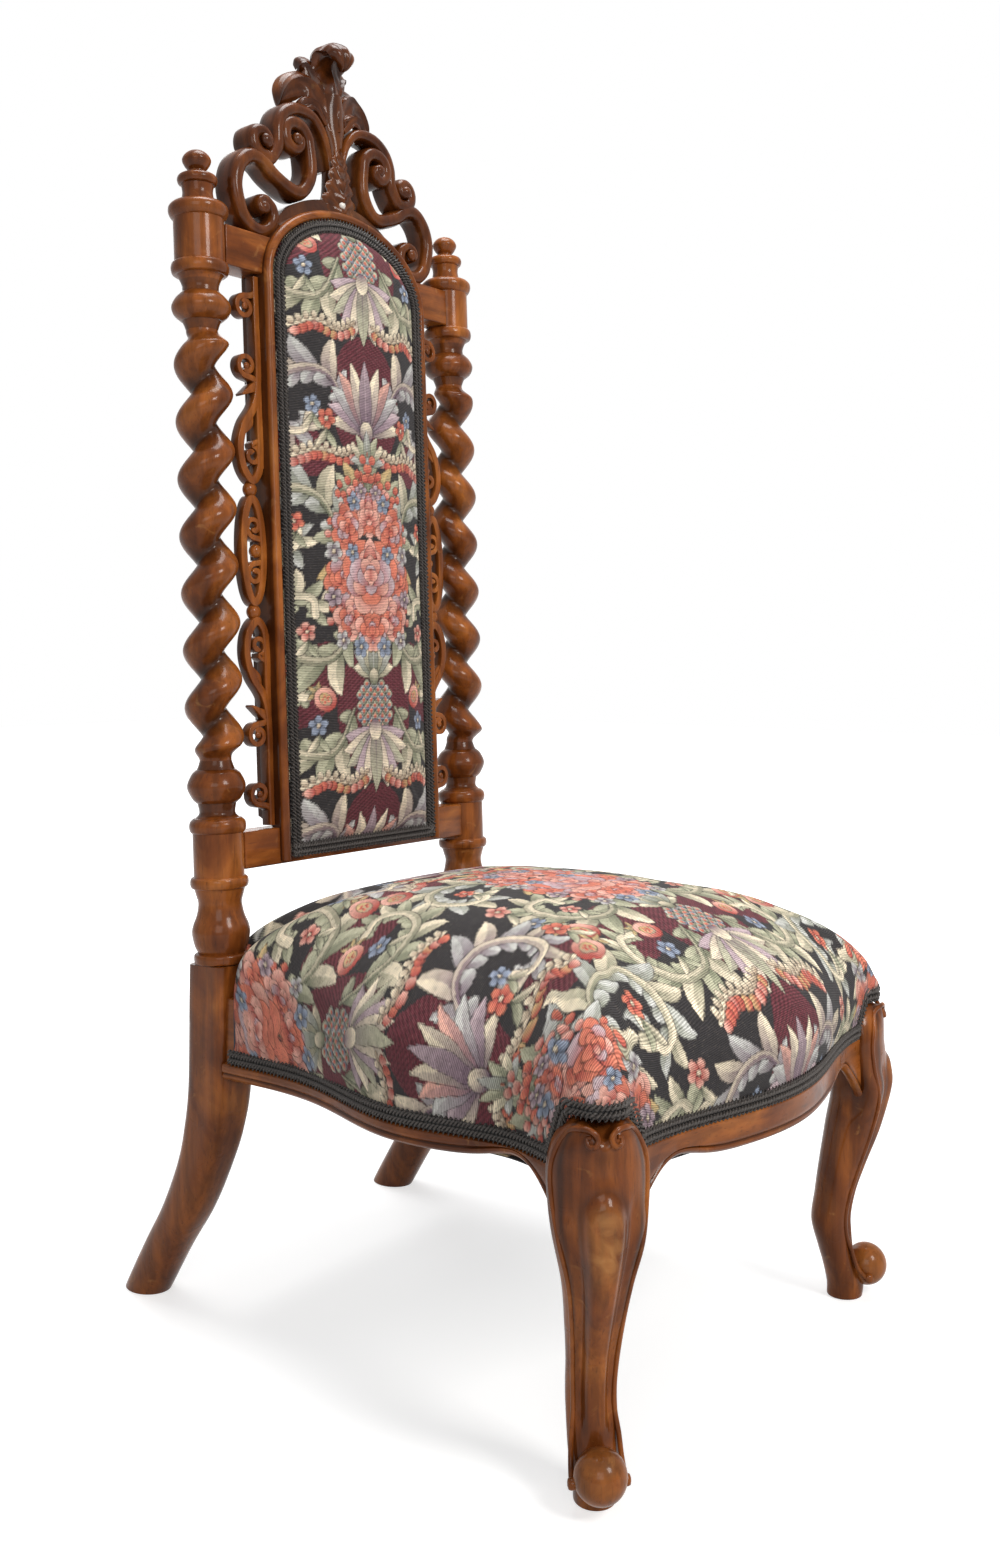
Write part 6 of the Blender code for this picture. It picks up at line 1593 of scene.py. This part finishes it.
def makeBackCover(material):
    across, straight, arched = backCover["cells"]

    def place(i, j):
        x, z = archedGrid(i, j, across, straight, arched, backCover["half"], backCover["base"], backCover["rise"])
        inside = max(0.0, edgeDistance(x, z) - backCover["flange"])
        dome = (1 - (1 - min(inside / backCover["swell"], 1.0)) ** 3.2) ** 0.62
        depth = backCover["face"] + backCover["cloth"] + backCover["crown"] * dome
        return Vector((x, -depth, z)), (x, z + backCover["weaveUp"])

    bm = gridOver(across, straight + arched, place)
    bmesh.ops.recalc_face_normals(bm, faces=bm.faces)
    if sum(face.normal.y for face in bm.faces) > 0:
        bmesh.ops.reverse_faces(bm, faces=bm.faces)
    bm.verts.ensure_lookup_table()
    held = [v.index for v in bm.verts if edgeDistance(v.co.x, v.co.z) < backCover["flange"] + 0.001]
    mesh = settleCloth("backCover", bm, held, backCover["pressure"], backCover["travel"])
    bm = bmesh.new()
    bm.from_mesh(finerMesh("backCover", mesh, 1))
    verts, rim = pushRim(bm, [edge for edge in bm.edges if edge.is_boundary])
    for vert in verts:
        vert.co.y = -backCover["face"]
    closeRim(bm, rim)
    piece = addPiece("backCover", bm, material, leanBack, ["back_cover", "back_pad", "back_hessian"], 80)
    dressInTapestry(piece.data)


# Braid

braid = {
    "width": 0.0120, "step": 0.0009, "set": 0.0028, "clearOfPost": 0.180,
    "ribbon": ((-1, 0.0002), (1, 0.0002), (0.97, 0.0009), (-0.97, 0.0009)),  # share of the half width, height
    # each cord: place across, phase, radius, swing, length of a wave
    "cords": [(0.0035, 0.0, 0.00125, 0.0014, 0.0066), (0.0035, math.pi, 0.00125, 0.0014, 0.0066),
              (0.0085, 0.0, 0.00125, 0.0014, 0.0066), (0.0085, math.pi, 0.00125, 0.0014, 0.0066),
              (0.0008, 0.0, 0.00085, 0.0016, 0.0042), (0.0110, 0.0, 0.00075, 0.0012, 0.0042)],
    "lift": 0.0014, "over": 0.0010, "shade": 0.48,
}


def braidAlong(path, outs):
    # a ribbon, two twisted pairs of cord, and a scalloped cord along each edge; outs point away from the chair
    points = np.array([tuple(point) for point in path])
    steps = runAlong(points)
    places = np.linspace(0.0, steps[-1], max(8, round(steps[-1] / braid["step"])) + 1)
    source = np.array([tuple(out) for out in outs])
    rows, facing = [np.column_stack([np.interp(places, steps, table[:, k]) for k in range(3)])
                    for table in (points, source)]
    frames = []
    for i in range(len(rows)):
        along = Vector(rows[min(i + 2, len(rows) - 1)] - rows[max(i - 2, 0)]).normalized()
        out = Vector(facing[i]).normalized()
        out = (out - along * out.dot(along)).normalized()
        frames.append((Vector(rows[i]), out, out.cross(along), places[i]))
    bm = freshMesh()
    half = braid["width"] / 2
    ribbon = [[spot + up * (half - 0.0004 + a * (half - 0.0008)) + out * b for a, b in braid["ribbon"]]
              for spot, out, up, _ in frames]
    # the ribbon under the cords in full painted shade
    joinInto(bm, skin(ribbon, [[1.0] * len(braid["ribbon"])] * len(ribbon)))
    ring = [k * math.pi / 3 for k in range(6)]
    for centre, phase, radius, swing, wave in braid["cords"]:
        rings, shades = [], []
        for spot, out, up, place in frames:
            turn = 2 * math.pi * place / wave + phase
            middle = spot + up * (centre + swing * math.sin(turn))
            middle += out * (braid["lift"] + braid["over"] * math.cos(turn))
            rings.append([middle + (up * math.cos(k) + out * math.sin(k)) * radius for k in ring])
            # painted shade where the cord dips under, none where it rides on top
            shades.append([braid["shade"] - braid["shade"] * math.cos(turn)] * len(ring))
        joinInto(bm, skin(rings, shades))
    return bm


def makeSeatBraid(material):
    sides = {key: [tuple(point) for point in points] for key, points in seatSides(260).items()}
    loop = sides["left"][::-1][8:] + sides["front"][1:] + sides["right"][1:-8]
    notchX, notchY = seatCover["notch"]
    shown = [i for i, (x, y) in enumerate(loop) if y < notchY - 0.0005 and abs(x) > braid["clearOfPost"]]
    loop = loop[shown[0]:shown[-1] + 1]
    outs = outwardAlong(loop, seatCover["middle"])
    heights = [hemHeight(x, y) for x, y in loop]
    path = [(x - out.x * braid["set"], y - out.y * braid["set"], z) for (x, y), out, z in zip(loop, outs, heights)]
    bm = braidAlong(path, [(out.x, out.y, 0.0) for out in outs])
    edge = notchX - 0.002
    level = seat["lipTop"] + seat["hemGap"]
    back = [(edge * (1 - i / 40), seat["backY"] - braid["set"], level) for i in range(81)]
    joinInto(bm, braidAlong(back, [(0.0, 1.0, 0.0)] * len(back)))
    addPiece("seatBraid", bm, material, standUp, ["seat_braid"], 60)


def makeBackBraid(material):
    half, base, rise, spring = backCover["half"], backCover["base"], backCover["rise"], panel["spring"]
    depth = backCover["face"] + backCover["cloth"]
    turns = [math.pi * i / 120 for i in range(121)]
    loop = [(half * (i / 20 - 1), base) for i in range(41)]
    loop += [(half, base + (spring - base) * i / 100) for i in range(1, 100)]
    loop += [(half * math.cos(turn), spring + rise * math.sin(turn)) for turn in turns]
    loop += [(-half, spring + (base - spring) * i / 100) for i in range(1, 101)]
    bm = braidAlong([(x, -depth, z) for x, z in loop], [(0.0, -1.0, 0.0)] * len(loop))
    addPiece("backBraid", bm, material, leanBack, ["back_braid"], 60)


# Plain cloths out of sight

bottomCloth = {"cells": 60, "thick": 0.0009, "inside": 0.93, "margin": 0.001}


def makeBottomCloth(material):
    low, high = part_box("bottom_cloth")
    cells, margin = bottomCloth["cells"], bottomCloth["margin"]
    sides = seatSides(cells)
    middle = Vector(seatCover["middle"])

    def place(i, j):
        key, share, ring = sideOfSquare(i - cells // 2, j - cells // 2)
        point = Vector(sides[key][round(share * cells)])
        spot = middle + (point - middle) * (2 * ring / cells) * bottomCloth["inside"]
        spot.x = min(max(spot.x, low.x + margin), high.x - margin)
        spot.y = min(max(spot.y, low.y - chair["shift"] + margin), high.y - chair["shift"] - margin)
        return Vector((spot.x, spot.y, (low.z + high.z) / 2)), tuple(spot)

    bm = gridOver(cells, cells, place)
    bmesh.ops.solidify(bm, geom=bm.faces[:], thickness=bottomCloth["thick"])
    piece = addPiece("bottomCloth", bm, material, standUp, ["bottom_cloth"])


outsideBack = {"cells": (24, 60, 14), "edge": 0.0005, "ripple": 0.0002, "thick": 0.0008}


def makeOutsideBack(material):
    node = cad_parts["outside_back_cloth"]
    local = [leanBack.inverted() @ vert.co for vert in node.data.vertices]
    across, straight, arched = outsideBack["cells"]
    edge = outsideBack["edge"]
    half = max(point.x for point in local) - edge
    base = min(point.z for point in local) + edge
    rise = max(point.z for point in local) - panel["spring"] - edge
    depth = sum(point.y for point in local) / len(local)

    def place(i, j):
        x, z = archedGrid(i, j, across, straight, arched, half, base, rise)
        ripple = outsideBack["ripple"] * math.sin(x * 130 + z * 40)
        return Vector((x, depth + ripple, z)), (x, z)

    bm = gridOver(across, straight + arched, place)
    bmesh.ops.solidify(bm, geom=bm.faces[:], thickness=outsideBack["thick"])
    piece = addPiece("outsideBackCloth", bm, material, leanBack, ["outside_back_cloth"])


def dressNode(name, material):
    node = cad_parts[name]
    node.data.materials.clear()
    node.data.materials.append(material)


setCamera()
setLight()
addFloor()
print("camera, light and floor")
standing = polishedWalnut("walnutStanding", (1.0, 1.0, 0.07))
crossing = polishedWalnut("walnutCrossing", (0.07, 1.0, 1.0))
reaching = polishedWalnut("walnutReaching", (1.0, 0.07, 1.0))
carved = polishedWalnut("walnutCarved", (0.9, 0.9, 0.25), 0.50, 1.06)
makePosts(standing)
makeFinials(standing)
makePanelFrame(crossing, standing)
makeFrets(standing)
makeCrest(carved, paleNacre("nacre"))
print("back")
makeBackLegs(standing)
makeFrontLegs(standing)
makeSeatRails(crossing, reaching)
print("legs and rails")
tapestry = floralTapestry("floralTapestry")
gimp = blackGimp("blackGimp")
makeSeatCover(tapestry)
makeBackCover(tapestry)
print("covers")
makeSeatBraid(gimp)
makeBackBraid(gimp)
print("braids")
lining = wovenCloth("blackLining", (0.020, 0.019, 0.020), (0.055, 0.052, 0.050), 0.0011)
makeBottomCloth(lining)
makeOutsideBack(lining)
beech = plainTimber("beech")
iron = darkIron("iron")
jute = wovenCloth("jute", (0.24, 0.17, 0.09), (0.44, 0.33, 0.19), 0.0022)
hiddenFinish = {
    "corner_block": beech, "seat_rail_back": beech, "crest_dowel": beech,
    "corner_screw": iron, "seat_spring": iron, "webbing": jute,
}
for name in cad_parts:
    for start, finish in hiddenFinish.items():
        if name.startswith(start):
            dressNode(name, finish)
print("hidden parts")
